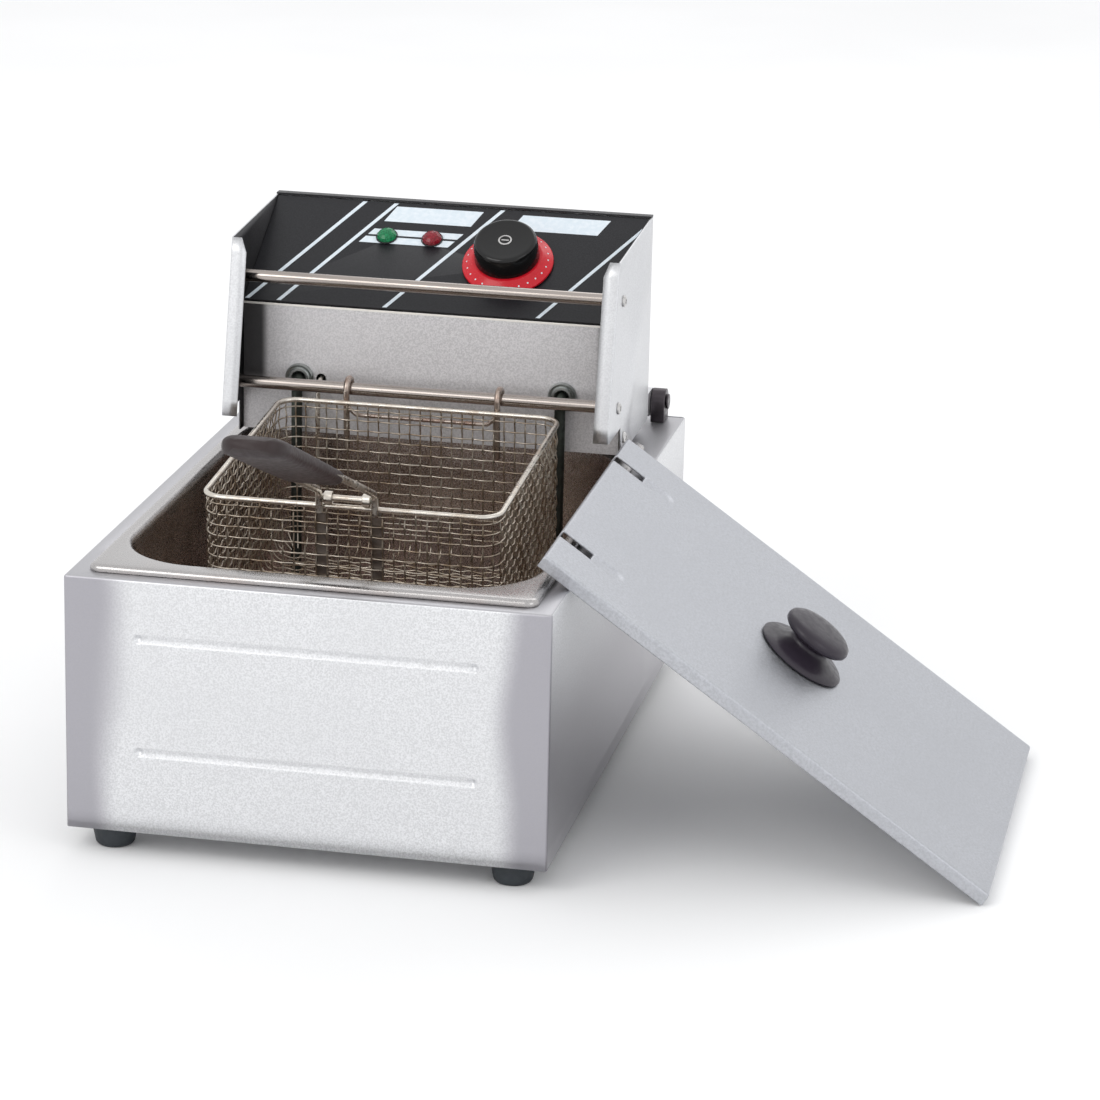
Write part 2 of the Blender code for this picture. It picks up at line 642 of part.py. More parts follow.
def ring_mesh(profile, place, axis, sides=24):
    """A closed (radius, height) outline that stays off the axis, spun into a ring."""
    bm = bmesh.new()
    loops = []
    for radius, height in profile:
        turn = [2 * pi * k / sides for k in range(sides)]
        loops.append([bm.verts.new((radius * cos(a), radius * sin(a), height)) for a in turn])
    for low, high in zip(loops, loops[1:] + loops[:1]):
        for k in range(sides):
            n = (k + 1) % sides
            bm.faces.new((low[k], low[n], high[n], high[k]))
    bm.transform(Matrix.Translation(place) @ aim(axis))
    return mesh_of(bm, 40)


def guard_mesh(y, z):
    """A bridge over the bulb whose ends stand on the element's two inner runs."""
    reach = TURN_X + 0.006
    foot_z = ELEMENT_Z + ELEMENT_R + GAP
    outline = [(-reach, foot_z), (-reach + 0.012, foot_z), (-reach + 0.012, z), (reach - 0.012, z),
               (reach - 0.012, foot_z), (reach, foot_z), (reach, z + SHEET), (-reach, z + SHEET)]
    return plate_mesh(outline, "y", y - 0.006, 0.012)


# ================================================================ dial and lamps
def dial(turning):
    base = fascia_point(DIAL_X, DIAL_UP, DIAL_LIFT)
    bore = SHAFT_R + GAP
    ring = [(bore, 0), (RING_R, 0), (RING_R, 0.0012), (RING_TOP_R, RING_H), (bore, RING_H)]
    put("dial_ring", ring_mesh(ring, base, FASCIA_NORMAL, 32), "red plastic", turning)
    knob_base = base + FASCIA_NORMAL * (RING_H + GAP)
    depth = KNOB_BORE
    knob = [(0, depth), (bore, depth), (bore, 0), (KNOB_R, 0), (KNOB_TOP_R, KNOB_H - 0.002),
            (KNOB_TOP_R - 0.002, KNOB_H), (0, KNOB_H)]
    put("control_knob", turned_mesh(knob, knob_base, FASCIA_NORMAL, 32), "gloss black", turning)
    inside = fascia_point(DIAL_X, DIAL_UP, -SHEET - GAP)
    top = knob_base + FASCIA_NORMAL * (depth - GAP)
    put("thermostat_shaft", rod_mesh(SHAFT_R, inside, top, 16), "brass", turning)


def lamps(head):
    for name, s, kind in (("power", -1, "green lens"), ("heat", 1, "red lens")):
        x = LAMP_X + s * LAMP_PITCH / 2
        seat = fascia_point(x, LAMP_UP, GAP)
        bezel = [(LENS_R + GAP, 0), (BEZEL_R, 0), (BEZEL_R, BEZEL_H), (LENS_R + GAP, BEZEL_H)]
        put(f"{name}_lamp_bezel", ring_mesh(bezel, seat, FASCIA_NORMAL, 20), "black plastic", head)
        lens = [(0, 0), (LENS_R, 0), (LENS_R, LENS_H * 0.5), (LENS_R * 0.6, LENS_H * 0.9), (0, LENS_H)]
        put(f"{name}_lamp_lens", turned_mesh(lens, seat, FASCIA_NORMAL, 20), kind, head)
        low = fascia_point(x, LAMP_UP, -LAMP_BODY_H)
        put(f"{name}_lamp_body", rod_mesh(LAMP_BODY_R, low, fascia_point(x, LAMP_UP, 0), 16),
            "black plastic", head)


# ================================================================ works inside the head
def sloped_box(x, up, size, top):
    """A box square to the control panel, its upper face at a depth below it."""
    w, d, h = size
    bm = bmesh.new()
    bmesh.ops.create_cube(bm, size=1.0)
    bm.transform(Matrix.Diagonal((w, d, h, 1)))
    tilt = Matrix.Rotation(FASCIA_TILT, 4, "X")
    bm.transform(Matrix.Translation(fascia_point(x, up, top - h / 2)) @ tilt)
    return mesh_of(bm)


def works(head, button):
    put("thermostat_body", sloped_box(DIAL_X, DIAL_UP, THERMOSTAT, -SHEET - 3 * GAP), "ceramic", head)
    w, d, h = TERMINAL
    floor = HEAD_Z + SHEET + GAP
    x, y = TERMINAL_X, HEAD_REAR - TERMINAL_BACK
    terminal = box_mesh(x - w / 2, x + w / 2, y - d / 2, y + d / 2, floor, floor + h)
    put("terminal_block", terminal, "ceramic", head)
    w, d, h = LIMITER
    back = HEAD_REAR - SHEET - GAP
    limiter = put("limit_thermostat", box_mesh(BUTTON_X - w / 2, BUTTON_X + w / 2, back - d, back,
                                               BUTTON_Z - h / 2, BUTTON_Z + h / 2), "black plastic", head)
    bottom, out = back - BUTTON_IN - BUTTON_TRAVEL, back + DRILL_REACH
    cut(limiter, rod_mesh(BUTTON_R + RUN, (BUTTON_X, bottom, BUTTON_Z), (BUTTON_X, out, BUTTON_Z)))
    put("reset_button", rod_mesh(BUTTON_R, (BUTTON_X, back - BUTTON_IN, BUTTON_Z),
                                 (BUTTON_X, HEAD_REAR + BUTTON_OUT, BUTTON_Z), 20), "red plastic", button)
    w, d, h = SWITCH
    x = -WALL_X + GAP
    y = HEAD_REAR - SWITCH_BACK
    put("safety_switch", box_mesh(x, x + d, y, y + w, floor, floor + h), "black plastic", head)
    neck, r, bore = CORD_GLAND_NECK_R, CORD_GLAND_R, CORD_GLAND_BORE_R
    gland = [(0, -0.010), (neck, -0.010), (neck, SHEET + GAP), (r, SHEET + GAP), (r, 0.009),
             (neck, 0.019), (bore, 0.019), (bore, -0.006), (0, -0.006)]
    put("cord_gland", turned_mesh(gland, (CORD_GLAND_X, HEAD_REAR - SHEET, CORD_GLAND_Z), (0, 1, 0)),
        "black plastic", head)


# ================================================================ basket and handle
def tilt_basket(mesh_or_points):
    """The hanging basket leans about the lower rod, its front a little low."""
    y, z = LOWER_ROD
    about = Matrix.Translation((0, y, z))
    turn = about @ Matrix.Rotation(BASKET_TILT, 4, "X") @ about.inverted()
    if isinstance(mesh_or_points, list):
        return [tuple(turn @ Vector(p)) for p in mesh_or_points]
    mesh_or_points.transform(turn)
    return mesh_or_points


HOOK_R = ROD_R + RUN + HOOK_WIRE_R
HOOK_FRONT_Y = LOWER_ROD[0] - HOOK_R
BASKET_REAR = HOOK_FRONT_Y - HOOK_WIRE_R - GAP
BASKET_FRONT = BASKET_REAR - BASKET_D
BASKET_TOP = LOWER_ROD[1] - BASKET_DROP
HANDLE_LEG_Y = BASKET_FRONT - HANDLE_WIRE_R - GAP
HANDLE_PIVOT_Y = HANDLE_LEG_Y + HANDLE_BACK
EYE_R = HANDLE_WIRE_R + RUN + EYE_WALL
HANDLE_PIVOT_Z = BASKET_TOP + RIM_WIRE_R + GAP + EYE_R


def basket(hanging):
    half = BASKET_W / 2
    top = BASKET_TOP - RIM_WIRE_R - GAP
    mid = RIM_WIRE_R - BASKET_WALL / 2

    def ring(inset, z):
        corner = BASKET_CORNER - inset
        return rounded(-half + inset, half - inset, BASKET_FRONT + inset, BASKET_REAR - inset, corner, 4), z

    low = top - BASKET_H + RIM_WIRE_R
    inner = mid + BASKET_WALL
    rings = [ring(inner, low + BASKET_WALL), ring(inner, top), ring(mid, top), ring(mid, low)]
    put("basket_shell", tilt_basket(lofted_mesh(rings)), "wire", hanging)
    outline = rounded(-half + RIM_WIRE_R, half - RIM_WIRE_R, BASKET_FRONT + RIM_WIRE_R,
                      BASKET_REAR - RIM_WIRE_R, BASKET_CORNER - RIM_WIRE_R, 5)
    wire("basket_rim", tilt_basket([(x, y, BASKET_TOP) for x, y in outline]), RIM_WIRE_R, "wire",
         hanging, closed=True)
    hook_frame(hanging)
    front = BASKET_FRONT + mid + BASKET_WALL + GAP
    for side, s in (("left", -1), ("right", 1)):
        x = s * STRAP_X
        strap = box_mesh(x - STRAP_W / 2, x + STRAP_W / 2, front, front + STRAP_T,
                         top - STRAP_LEN, top - STRAP_T)
        put(f"front_strap_{side}", tilt_basket(strap), "wire", hanging)
        near = s * (STRAP_X - HANDLE_WIRE_R - RUN)
        bore = HANDLE_WIRE_R + RUN
        eye = [(bore, 0), (EYE_R, 0), (EYE_R, EYE_W), (bore, EYE_W)]
        place = (near, HANDLE_PIVOT_Y, HANDLE_PIVOT_Z)
        put(f"handle_eye_{side}", tilt_basket(ring_mesh(eye, place, (-s, 0, 0), 16)), "wire", hanging)


def hook_frame(hanging):
    """Two legs behind the basket, hooked over the lower rod, and the brace that joins them."""
    y, z = LOWER_ROD
    across = Vector((1, 0, 0))
    hooks = []
    for s in (-1, 1):
        route = arc((s * HOOK_X, y, z), (0, 1, 0), (0, 0, 1), HOOK_R, 0, 180, 8)
        route.append((s * HOOK_X, HOOK_FRONT_Y, z - HOOK_LEG))
        hooks.append(tilt_basket(tube_mesh(route, across, HOOK_WIRE_R)))
    brace_z = z - BRACE_DROP
    ends = [(HOOK_X, brace_z + BRACE_KICK), (HOOK_X - BRACE_KICK, brace_z)]
    route = [(-x, HOOK_FRONT_Y, h) for x, h in ends] + [(x, HOOK_FRONT_Y, h) for x, h in reversed(ends)]
    frame = put("hook_frame", hooks[0], "wire", hanging)
    cut(frame, tilt_basket(tube_mesh(route, Vector((0, 1, 0)), BRACE_WIRE_R)), "UNION")
    cut(frame, hooks[1], "UNION")


def handle(folding):
    """A pivot bar in two eyes on the rim, two welded legs whose feet stop against the rim's front,
    and a moulded grip on the legs' ends."""
    out, up = Vector((0, -cos(HANDLE_TILT), sin(HANDLE_TILT))), Vector((0, 0, 1))
    legs_at = Vector((0, HANDLE_LEG_Y, HANDLE_PIVOT_Z))
    bend_at = legs_at + up * HANDLE_RISE
    start = bend_at + out * HANDLE_REACH
    bar_half = Vector((STRAP_X, 0, 0))
    bar_at = Vector((0, HANDLE_PIVOT_Y, HANDLE_PIVOT_Z))
    pivot_bar = rod_mesh(PIVOT_BAR_R, bar_at - bar_half, bar_at + bar_half, 16)
    bar = put("handle_wire", tilt_basket(pivot_bar), "wire", folding)
    for s in (-1, 1):
        x = Vector((s * STRAP_X, 0, 0))
        foot = legs_at + x - up * HANDLE_FOOT
        leg = bent_route(foot, bend_at + x, start + x + out * GRIP_SINK, HANDLE_BEND)
        cut(bar, tilt_basket(tube_mesh(leg, Vector((1, 0, 0)), HANDLE_WIRE_R)), "UNION")
    grip = put("handle_grip", tilt_basket(grip_mesh(start, out)), "bakelite", folding)
    for s in (-1, 1):
        x = Vector((s * STRAP_X, 0, 0))
        near, far = start + x - out * DRILL_REACH, start + x + out * (GRIP_SINK + GAP)
        cut(grip, tilt_basket(rod_mesh(HANDLE_WIRE_R + GAP, near, far, 16)))


def bent_route(first, corner, last, bend, steps=5):
    """Places along a wire with one round bend."""
    a, b = (first - corner).normalized(), (last - corner).normalized()
    half = a.angle(b) / 2
    centre = corner + (a + b).normalized() * (bend / sin(half))
    start, end = a * (bend / tan(half)) + corner - centre, b * (bend / tan(half)) + corner - centre
    sweep = start.angle(end)
    turns = [k / steps * sweep for k in range(steps + 1)]
    return [first] + [centre + (start * sin(sweep - t) + end * sin(t)) / sin(sweep) for t in turns] + [last]


def tube_mesh(route, across, radius, sides=12):
    """A round wire with flat ends along places in one plane, which is square to across."""
    route = [Vector(place) for place in route]
    bm = bmesh.new()
    loops = []
    for k, place in enumerate(route):
        ahead = (route[min(k + 1, len(route) - 1)] - route[max(k - 1, 0)]).normalized()
        side = ahead.cross(across)
        turn = [2 * pi * n / sides for n in range(sides)]
        loops.append([bm.verts.new(place + (across * cos(t) + side * sin(t)) * radius) for t in turn])
    for low, high in zip(loops, loops[1:]):
        for k in range(sides):
            n = (k + 1) % sides
            bm.faces.new((low[k], low[n], high[n], high[k]))
    bm.faces.new(loops[0])
    bm.faces.new(loops[-1])
    return mesh_of(bm, 40)


def grip_mesh(start, out):
    """A flat bar with round sides, slightly thicker at its outer end."""
    stations = ((0.0, 0.80, 0.66), (0.006, 0.95, 0.80), (0.030, 1.0, 0.86), (GRIP_LEN * 0.6, 1.0, 0.95),
                (GRIP_LEN - 0.012, 0.98, 1.0), (GRIP_LEN - 0.003, 0.88, 0.86), (GRIP_LEN, 0.72, 0.60))
    bm = bmesh.new()
    across, normal = Vector((1, 0, 0)), Vector((1, 0, 0)).cross(out).normalized()
    loops = []
    for along, wide, thick in stations:
        w, t = GRIP_W * wide / 2, GRIP_T * thick / 2
        section = rounded(-w, w, -t, t, t * 0.85, 3)
        loops.append([bm.verts.new(start + out * along + across * a + normal * b) for a, b in section])
    for low, high in zip(loops, loops[1:]):
        for k in range(len(low)):
            n = (k + 1) % len(low)
            bm.faces.new((low[k], low[n], high[n], high[k]))
    bm.faces.new(loops[0])
    bm.faces.new(loops[-1])
    return mesh_of(bm, 40)


# ================================================================ lid
def lid_pose():
    """Leaning: the folded edges touch the deck's right edge and the lower edge stands on the table."""
    lift = 2 * GAP
    foot_x = BODY_W / 2 + (DECK_Z - lift) / tan(LID_LEAN) + lift
    low = Vector((foot_x, LID_Y, lift))
    slope = Vector((cos(LID_LEAN), 0, -sin(LID_LEAN)))
    middle = low - slope * (LID_L / 2)
    return Matrix.Translation(middle) @ Matrix.Rotation(LID_LEAN, 4, "Y")


def lid(loose):
    """Drawn flat with its folded edges down from Z = LID_EDGE to 0, then leant."""
    pose = lid_pose()
    half_l, half_w = LID_L / 2, LID_W / 2
    pan = box_mesh(-half_l, half_l, -half_w, half_w, 0, LID_EDGE)
    pan.transform(pose)
    plate = put("lid_plate", pan, "satin steel", loose)
    in_l, in_w, under = half_l - SHEET, half_w - SHEET, -DRILL_REACH
    tools = [box_mesh(-in_l, in_l, -in_w, in_w, under, LID_EDGE - SHEET)]
    over = LID_EDGE + DRILL_REACH
    for s in (-1, 1):
        y = s * SLOT_Y
        tools.append(box_mesh(-half_l + under, -half_l + SLOT_L, y - SLOT_W / 2, y + SLOT_W / 2, under, over))
    tools.append(rod_mesh(SCREW_R + GAP, (0, 0, under), (0, 0, over), 16))
    for tool in tools:
        tool.transform(pose)
        cut(plate, tool)

    seat = LID_EDGE + GAP
    h, r, top_r, waist = LIDKNOB_H, LIDKNOB_R, LIDKNOB_TOP_R, LIDKNOB_WAIST_R
    bore, depth = SCREW_R + GAP, 0.012
    profile = [(0, depth), (bore, depth), (bore, 0), (r - 0.001, 0), (r, 0.0015), (r - 0.004, 0.0035),
               (waist + 0.004, 0.0065), (waist, 0.0095), (waist + 0.002, 0.0125), (top_r - 0.002, 0.0150),
               (top_r, 0.0175), (top_r - 0.0015, h - 0.003), (top_r - 0.007, h - 0.0008), (0, h)]
    knob = turned_mesh(profile, (0, 0, seat), (0, 0, 1), 32)
    knob.transform(pose)
    put("lid_knob", knob, "bakelite", loose)
    top = LID_EDGE - SHEET - GAP
    length = SHEET + 2 * GAP + depth - GAP
    shape = [(0, -SCREW_HEAD_H), (SCREW_HEAD_R, -SCREW_HEAD_H), (SCREW_HEAD_R, 0), (SCREW_R, 0),
             (SCREW_R, length), (0, length)]
    screw = turned_mesh(shape, (0, 0, top), (0, 0, 1), 16)
    screw.transform(pose)
    put("lid_knob_screw", screw, "bright steel", loose)


# ================================================================ assembly
def centre_footprint():
    """Moves the whole model so that its box is centred on the origin in X and Y."""
    bpy.context.view_layer.update()
    graph = bpy.context.evaluated_depsgraph_get()
    places = []
    for obj in bpy.data.objects:
        if obj.type != "EMPTY" and not obj.hide_render:
            solid = obj.evaluated_get(graph)
            shape = solid.to_mesh()
            places += [solid.matrix_world @ v.co for v in shape.vertices]
            solid.to_mesh_clear()
    middle = [(min(p[i] for p in places) + max(p[i] for p in places)) / 2 for i in (0, 1)]
    for obj in bpy.data.objects:
        if obj.parent is None:
            obj.matrix_world = Matrix.Translation((-middle[0], -middle[1], 0)) @ obj.matrix_world


def build():
    clear_scene()
    body()
    tank()
    hinge()
    head = pivot("head_pivot", (0, HINGE_Y, HINGE_Z))
    hinge_arms(head)
    side_plates(head)
    head_shell(head)
    rods(head)
    element(head)
    lamps(head)
    dial(pivot("dial_pivot", fascia_point(DIAL_X, DIAL_UP), aim(FASCIA_NORMAL), head))
    works(head, pivot("button_pivot", (BUTTON_X, HEAD_REAR, BUTTON_Z), None, head))
    hanging = pivot("basket_pivot", (0, *LOWER_ROD), None, head)
    basket(hanging)
    turn_at = tilt_basket([(0, HANDLE_PIVOT_Y, HANDLE_PIVOT_Z)])[0]
    handle(pivot("handle_pivot", turn_at, None, hanging))
    lid(pivot("lid_pivot", lid_pose().translation, Matrix.Rotation(LID_LEAN, 4, "Y")))
    centre_footprint()


build()
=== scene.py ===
"""Looks of a countertop electric deep fryer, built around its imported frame.

Metres, +Z up. Places are drawn with X centred on the body, Y = 0 at the front face and Z = 0 on the
table, and are moved by the body's own place in the frame.
"""

from math import cos, hypot, pi, radians, sin, sqrt, tan

import bmesh
import bpy
import numpy as np
from mathutils import Matrix, Vector


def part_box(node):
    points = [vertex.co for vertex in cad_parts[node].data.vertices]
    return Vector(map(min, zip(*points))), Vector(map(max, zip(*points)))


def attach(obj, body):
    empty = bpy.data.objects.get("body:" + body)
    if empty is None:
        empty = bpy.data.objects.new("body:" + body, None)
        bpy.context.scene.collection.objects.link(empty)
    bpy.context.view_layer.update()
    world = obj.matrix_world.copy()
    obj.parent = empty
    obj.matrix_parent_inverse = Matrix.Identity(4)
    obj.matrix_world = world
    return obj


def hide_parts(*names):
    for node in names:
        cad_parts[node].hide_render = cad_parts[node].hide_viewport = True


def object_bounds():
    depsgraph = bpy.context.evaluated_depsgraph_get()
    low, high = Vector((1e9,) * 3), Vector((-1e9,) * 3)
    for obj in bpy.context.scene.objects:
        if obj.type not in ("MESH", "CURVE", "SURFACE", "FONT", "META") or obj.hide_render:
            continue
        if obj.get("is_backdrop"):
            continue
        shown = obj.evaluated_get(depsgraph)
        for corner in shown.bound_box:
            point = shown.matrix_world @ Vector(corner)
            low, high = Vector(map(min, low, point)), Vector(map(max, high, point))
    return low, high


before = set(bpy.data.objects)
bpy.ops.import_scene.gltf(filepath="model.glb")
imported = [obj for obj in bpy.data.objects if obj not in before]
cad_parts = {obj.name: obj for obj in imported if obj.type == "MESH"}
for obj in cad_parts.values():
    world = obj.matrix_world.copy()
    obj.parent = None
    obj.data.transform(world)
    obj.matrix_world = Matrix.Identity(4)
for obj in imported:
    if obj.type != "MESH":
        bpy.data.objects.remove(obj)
cad_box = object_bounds()
casing_low, casing_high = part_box("body_casing")
ORIGIN = Vector(((casing_low.x + casing_high.x) / 2, casing_low.y, 0))

# ================================================================ sizes shared with the frame
SHEET = 0.0012
BODY_W, BODY_D, FOOT_H, DECK_Z = 0.288, 0.440, 0.015, 0.170
TANK_OPEN_W, TANK_FRONT, TANK_REAR, TANK_CORNER = 0.245, 0.0265, 0.345, 0.048
TANK_BOTTOM, RIM_TOP, TANK_DRAFT = 0.0343, 0.1743, 0.006
RIM_SIDE, RIM_FRONT, RIM_REAR = 0.0105, 0.0165, 0.012
BEAD_LEN, BEAD_R, BEADS = 0.205, 0.0030, (0.065, 0.1345)
FOOT_INSET_X, FOOT_INSET_Y = 0.0235, 0.020
HEAD_W, HEAD_FRONT, HEAD_REAR, HEAD_Z = 0.250, 0.311, 0.403, 0.177
FASCIA_TILT, FASCIA_LOW_Z, FASCIA_LEN = radians(30.5), 0.262, 0.099
FASCIA_TOP_Y = HEAD_FRONT + FASCIA_LEN * cos(FASCIA_TILT)
FASCIA_TOP_Z = FASCIA_LOW_Z + FASCIA_LEN * sin(FASCIA_TILT)
FASCIA_OUT = Vector((0, -sin(FASCIA_TILT), cos(FASCIA_TILT)))
WING_LOW_Y, WING_TOP_Y, WING_STEP_Y = 0.264, 0.289, 0.305
WING_LOW_Z, WING_TOP_Z, WING_LIP = 0.197, FASCIA_TOP_Z - 0.005, 0.010
WING_LEAN = (WING_TOP_Y - WING_LOW_Y) / (WING_TOP_Z - WING_LOW_Z)
ROD_R, UPPER_ROD, LOWER_ROD = 0.004, (0.302, 0.280), (0.293, 0.2128)
ELEMENT_R, LEG_X, LEG_Y, GLAND_Z, ELEMENT_Z, BULB_X = 0.0035, 0.086, 0.3035, 0.213, 0.060, -0.072
DIAL_X, DIAL_UP, DIAL_LIFT = 0.0404, 0.048, 0.0008
LAMP_X, LAMP_PITCH, LAMP_UP = -0.0283, 0.030, 0.066
BASKET_TILT = radians(4.0)
BASKET_W, BASKET_REAR, BASKET_FRONT, BASKET_TOP = 0.184, 0.2841, 0.0981, 0.2066
BASKET_H, BASKET_CORNER, RIM_WIRE_R = 0.100, 0.014, 0.0017
HOOK_R, HOOK_X, HOOK_LEG, HOOK_WIRE_R = 0.0066, 0.049, 0.038, 0.0020
STRAP_X, STRAP_W, STRAP_LEN = 0.017, 0.0075, 0.080
HANDLE_TILT, HANDLE_REACH, HANDLE_WIRE_R = radians(26.2), 0.081, 0.0022
GRIP_LEN, GRIP_W, GRIP_T = 0.150, 0.040, 0.012
LID_L, LID_W, LID_EDGE, LID_LEAN, LID_Y = 0.322, 0.260, 0.008, radians(34.6), 0.178
SLOT_W, SLOT_L, SLOT_Y = 0.0115, 0.023, 0.0835


# ================================================================ materials
class Finish:
    """A Principled material and short ways to add what feeds it."""

    def __init__(self, name, colour, roughness, metallic=0.0, **sockets):
        self.mat = bpy.data.materials.new(name)
        self.mat.use_nodes = True
        self.tree = self.mat.node_tree
        self.shader = self.tree.nodes["Principled BSDF"]
        self.set(self.shader, Base_Color=(*colour, 1), Roughness=roughness, Metallic=metallic,
                 **sockets)
        self.place = self.add("ShaderNodeTexCoord").outputs["Object"]
        self.height = None

    def set(self, node, **sockets):
        """Links each named input to a socket, or gives it a plain value."""
        for label, value in sockets.items():
            socket = node.inputs[label.replace("_", " ")]
            if isinstance(value, bpy.types.NodeSocket):
                self.tree.links.new(value, socket)
            else:
                socket.default_value = value

    def add(self, kind, settings=None, **sockets):
        node = self.tree.nodes.new(kind)
        for key, value in (settings or {}).items():
            setattr(node, key, value)
        self.set(node, **sockets)
        return node

    def scaled(self, scale):
        """The piece's own place, drawn out or squeezed along its axes."""
        return self.add("ShaderNodeMapping", Vector=self.place, Scale=scale).outputs["Vector"]

    def noise(self, scale, detail=2.0, vector=None, rough=0.5):
        return self.add("ShaderNodeTexNoise", Vector=vector or self.place, Scale=scale,
                        Detail=detail, Roughness=rough).outputs["Fac"]

    def span(self, value, low, high, to_low=0.0, to_high=1.0):
        """A value eased from one range into another."""
        return self.add("ShaderNodeMapRange", {"interpolation_type": "SMOOTHSTEP"}, Value=value,
                        From_Min=low, From_Max=high, To_Min=to_low,
                        To_Max=to_high).outputs["Result"]

    def math(self, kind, a, b=0.0):
        node = self.tree.nodes.new("ShaderNodeMath")
        node.operation = kind
        for socket, value in zip(node.inputs, (a, b)):
            if isinstance(value, bpy.types.NodeSocket):
                self.tree.links.new(value, socket)
            else:
                socket.default_value = value
        return node.outputs[0]

    def mix(self, share, first, second, blend="MIX"):
        node = self.tree.nodes.new("ShaderNodeMix")
        node.data_type, node.blend_type = "RGBA", blend
        for index, value in ((0, share), (6, first), (7, second)):
            if isinstance(value, bpy.types.NodeSocket):
                self.tree.links.new(value, node.inputs[index])
            else:
                node.inputs[index].default_value = value if index == 0 else (*value, 1)
        return node.outputs[2]

    def axis(self, name):
        return self.add("ShaderNodeSeparateXYZ", Vector=self.place).outputs[name]

    def off_centre(self):
        """How far a place lies to either side of the body's middle."""
        return self.math("ABSOLUTE", self.math("SUBTRACT", self.axis("X"), ORIGIN.x))

    def colour(self, socket):
        self.set(self.shader, Base_Color=socket)
        return self

    def rough(self, socket):
        self.set(self.shader, Roughness=socket)
        return self

    def bump(self, height, distance, strength=1.0):
        sockets = dict(Height=height, Distance=distance, Strength=strength)
        if self.height:
            sockets["Normal"] = self.height
        self.height = self.add("ShaderNodeBump", **sockets).outputs["Normal"]
        self.set(self.shader, Normal=self.height)
        return self


def grained_steel(name, tone, roughness, grain=900, contrast=0.10):
    """Stainless sheet with a fine sparkling grain and slow cloudy variation."""
    tone = Vector(tone)
    f = Finish(name, tone, roughness, 1.0)
    fine = f.noise(grain, 3, rough=0.7)
    cloud = f.noise(14, 3)
    dark, light = tone * (1 - contrast), tone * (1 + contrast * 0.6)
    base = f.mix(f.span(fine, 0.36, 0.64), dark, light)
    base = f.mix(f.span(cloud, 0.3, 0.75, 0, 0.35), base, tone * 0.9)
    f.colour(base)
    f.rough(f.span(fine, 0.3, 0.7, roughness - 0.06, roughness + 0.07))
    f.bump(fine, 0.00004, 0.5)
    return f, base


def casing_finish():
    """Bright satin, with two soft violet-grey bands of painted reflection beside the front's side edges,
    a deck made duller as painted shade, and painted shade on the sides, darker towards the table."""
    f, base = grained_steel("casing_steel", (0.76, 0.765, 0.78), 0.44, contrast=0.16)
    side = f.off_centre()
    # painted reflection: two soft violet-grey bands near the front's left and right edges
    bow = f.span(f.noise(7, 1), 0.3, 0.7, -0.008, 0.008)
    painted_reflection_band = f.span(f.math("ADD", side, bow), 0.108, 0.130)
    front = f.span(f.axis("Y"), ORIGIN.y + 0.004, ORIGIN.y + 0.0015)
    share = f.math("MULTIPLY", f.math("MULTIPLY", painted_reflection_band, front), 0.85)
    with_painted_shade = f.mix(share, base, (0.36, 0.35, 0.385))
    # painted shade: the top face of the deck is given a darker grey
    deck = f.math("GREATER_THAN", f.axis("Z"), DECK_Z - 0.0006)
    with_painted_shade = f.mix(deck, with_painted_shade, (0.50, 0.495, 0.515))
    # painted shade and reflection on both side faces, darker towards the table
    painted_flank_shade = f.math("MULTIPLY", f.math("GREATER_THAN", side, BODY_W / 2 - 0.0008),
                   f.span(f.axis("Z"), 0.165, 0.075, 0.0, 0.62))
    f.colour(f.mix(painted_flank_shade, with_painted_shade, (0.30, 0.285, 0.31)))
    return f.mat


def wing_finish():
    """Side plates with a painted reflection of the black panel and the tank on their inner faces."""
    f, base = grained_steel("wing_steel", (0.70, 0.705, 0.72), 0.42)
    side = f.off_centre()
    inward = f.math("LESS_THAN", side, HEAD_W / 2 - SHEET * 0.7)
    lean = f.math("MULTIPLY", f.math("SUBTRACT", f.axis("Z"), WING_LOW_Z), WING_LEAN)
    depth = f.math("SUBTRACT", f.math("SUBTRACT", f.axis("Y"), ORIGIN.y + WING_LOW_Y), lean)
    behind = f.math("GREATER_THAN", depth, SHEET * 0.9)
    # painted reflection: inner faces behind the front fold are made near-black
    f.colour(f.mix(f.math("MULTIPLY", inward, behind), base, (0.045, 0.044, 0.048)))
    return f.mat


def head_finish():
    """Even satin, with painted shade and reflection beside the side plates
    and a painted highlight along the upper edge.
    """
    f, base = grained_steel("head_steel", (0.74, 0.725, 0.735), 0.55, contrast=0.16)
    side = f.off_centre()
    # painted shadow and reflection: dark strip near each side plate, low on the panel
    painted_shade_side = f.span(side, HEAD_W / 2 - 0.0190, HEAD_W / 2 - 0.0130)
    low = f.span(f.axis("Z"), 0.200, 0.216)
    share = f.math("MULTIPLY", f.math("MULTIPLY", painted_shade_side, low), 0.92)
    tone = f.mix(share, base, (0.030, 0.029, 0.031))
    # painted highlight: a bright line along the panel's upper edge
    edge = f.math("GREATER_THAN", f.axis("Z"), FASCIA_LOW_Z - 0.0026)
    f.colour(f.mix(edge, tone, (0.93, 0.90, 0.85)))
    f.set(f.shader, Metallic=0.6)
    return f.mat


def cover_finish():
    """The rear cover's folded top carries the panel's black film."""
    f, base = grained_steel("cover_steel", (0.72, 0.72, 0.73), 0.42)
    top = f.math("GREATER_THAN", f.axis("Z"), FASCIA_TOP_Z + 0.0004)
    f.colour(f.mix(top, base, (0.012, 0.012, 0.014)))
    f.set(f.shader, Metallic=f.math("SUBTRACT", 1.0, top))
    return f.mat


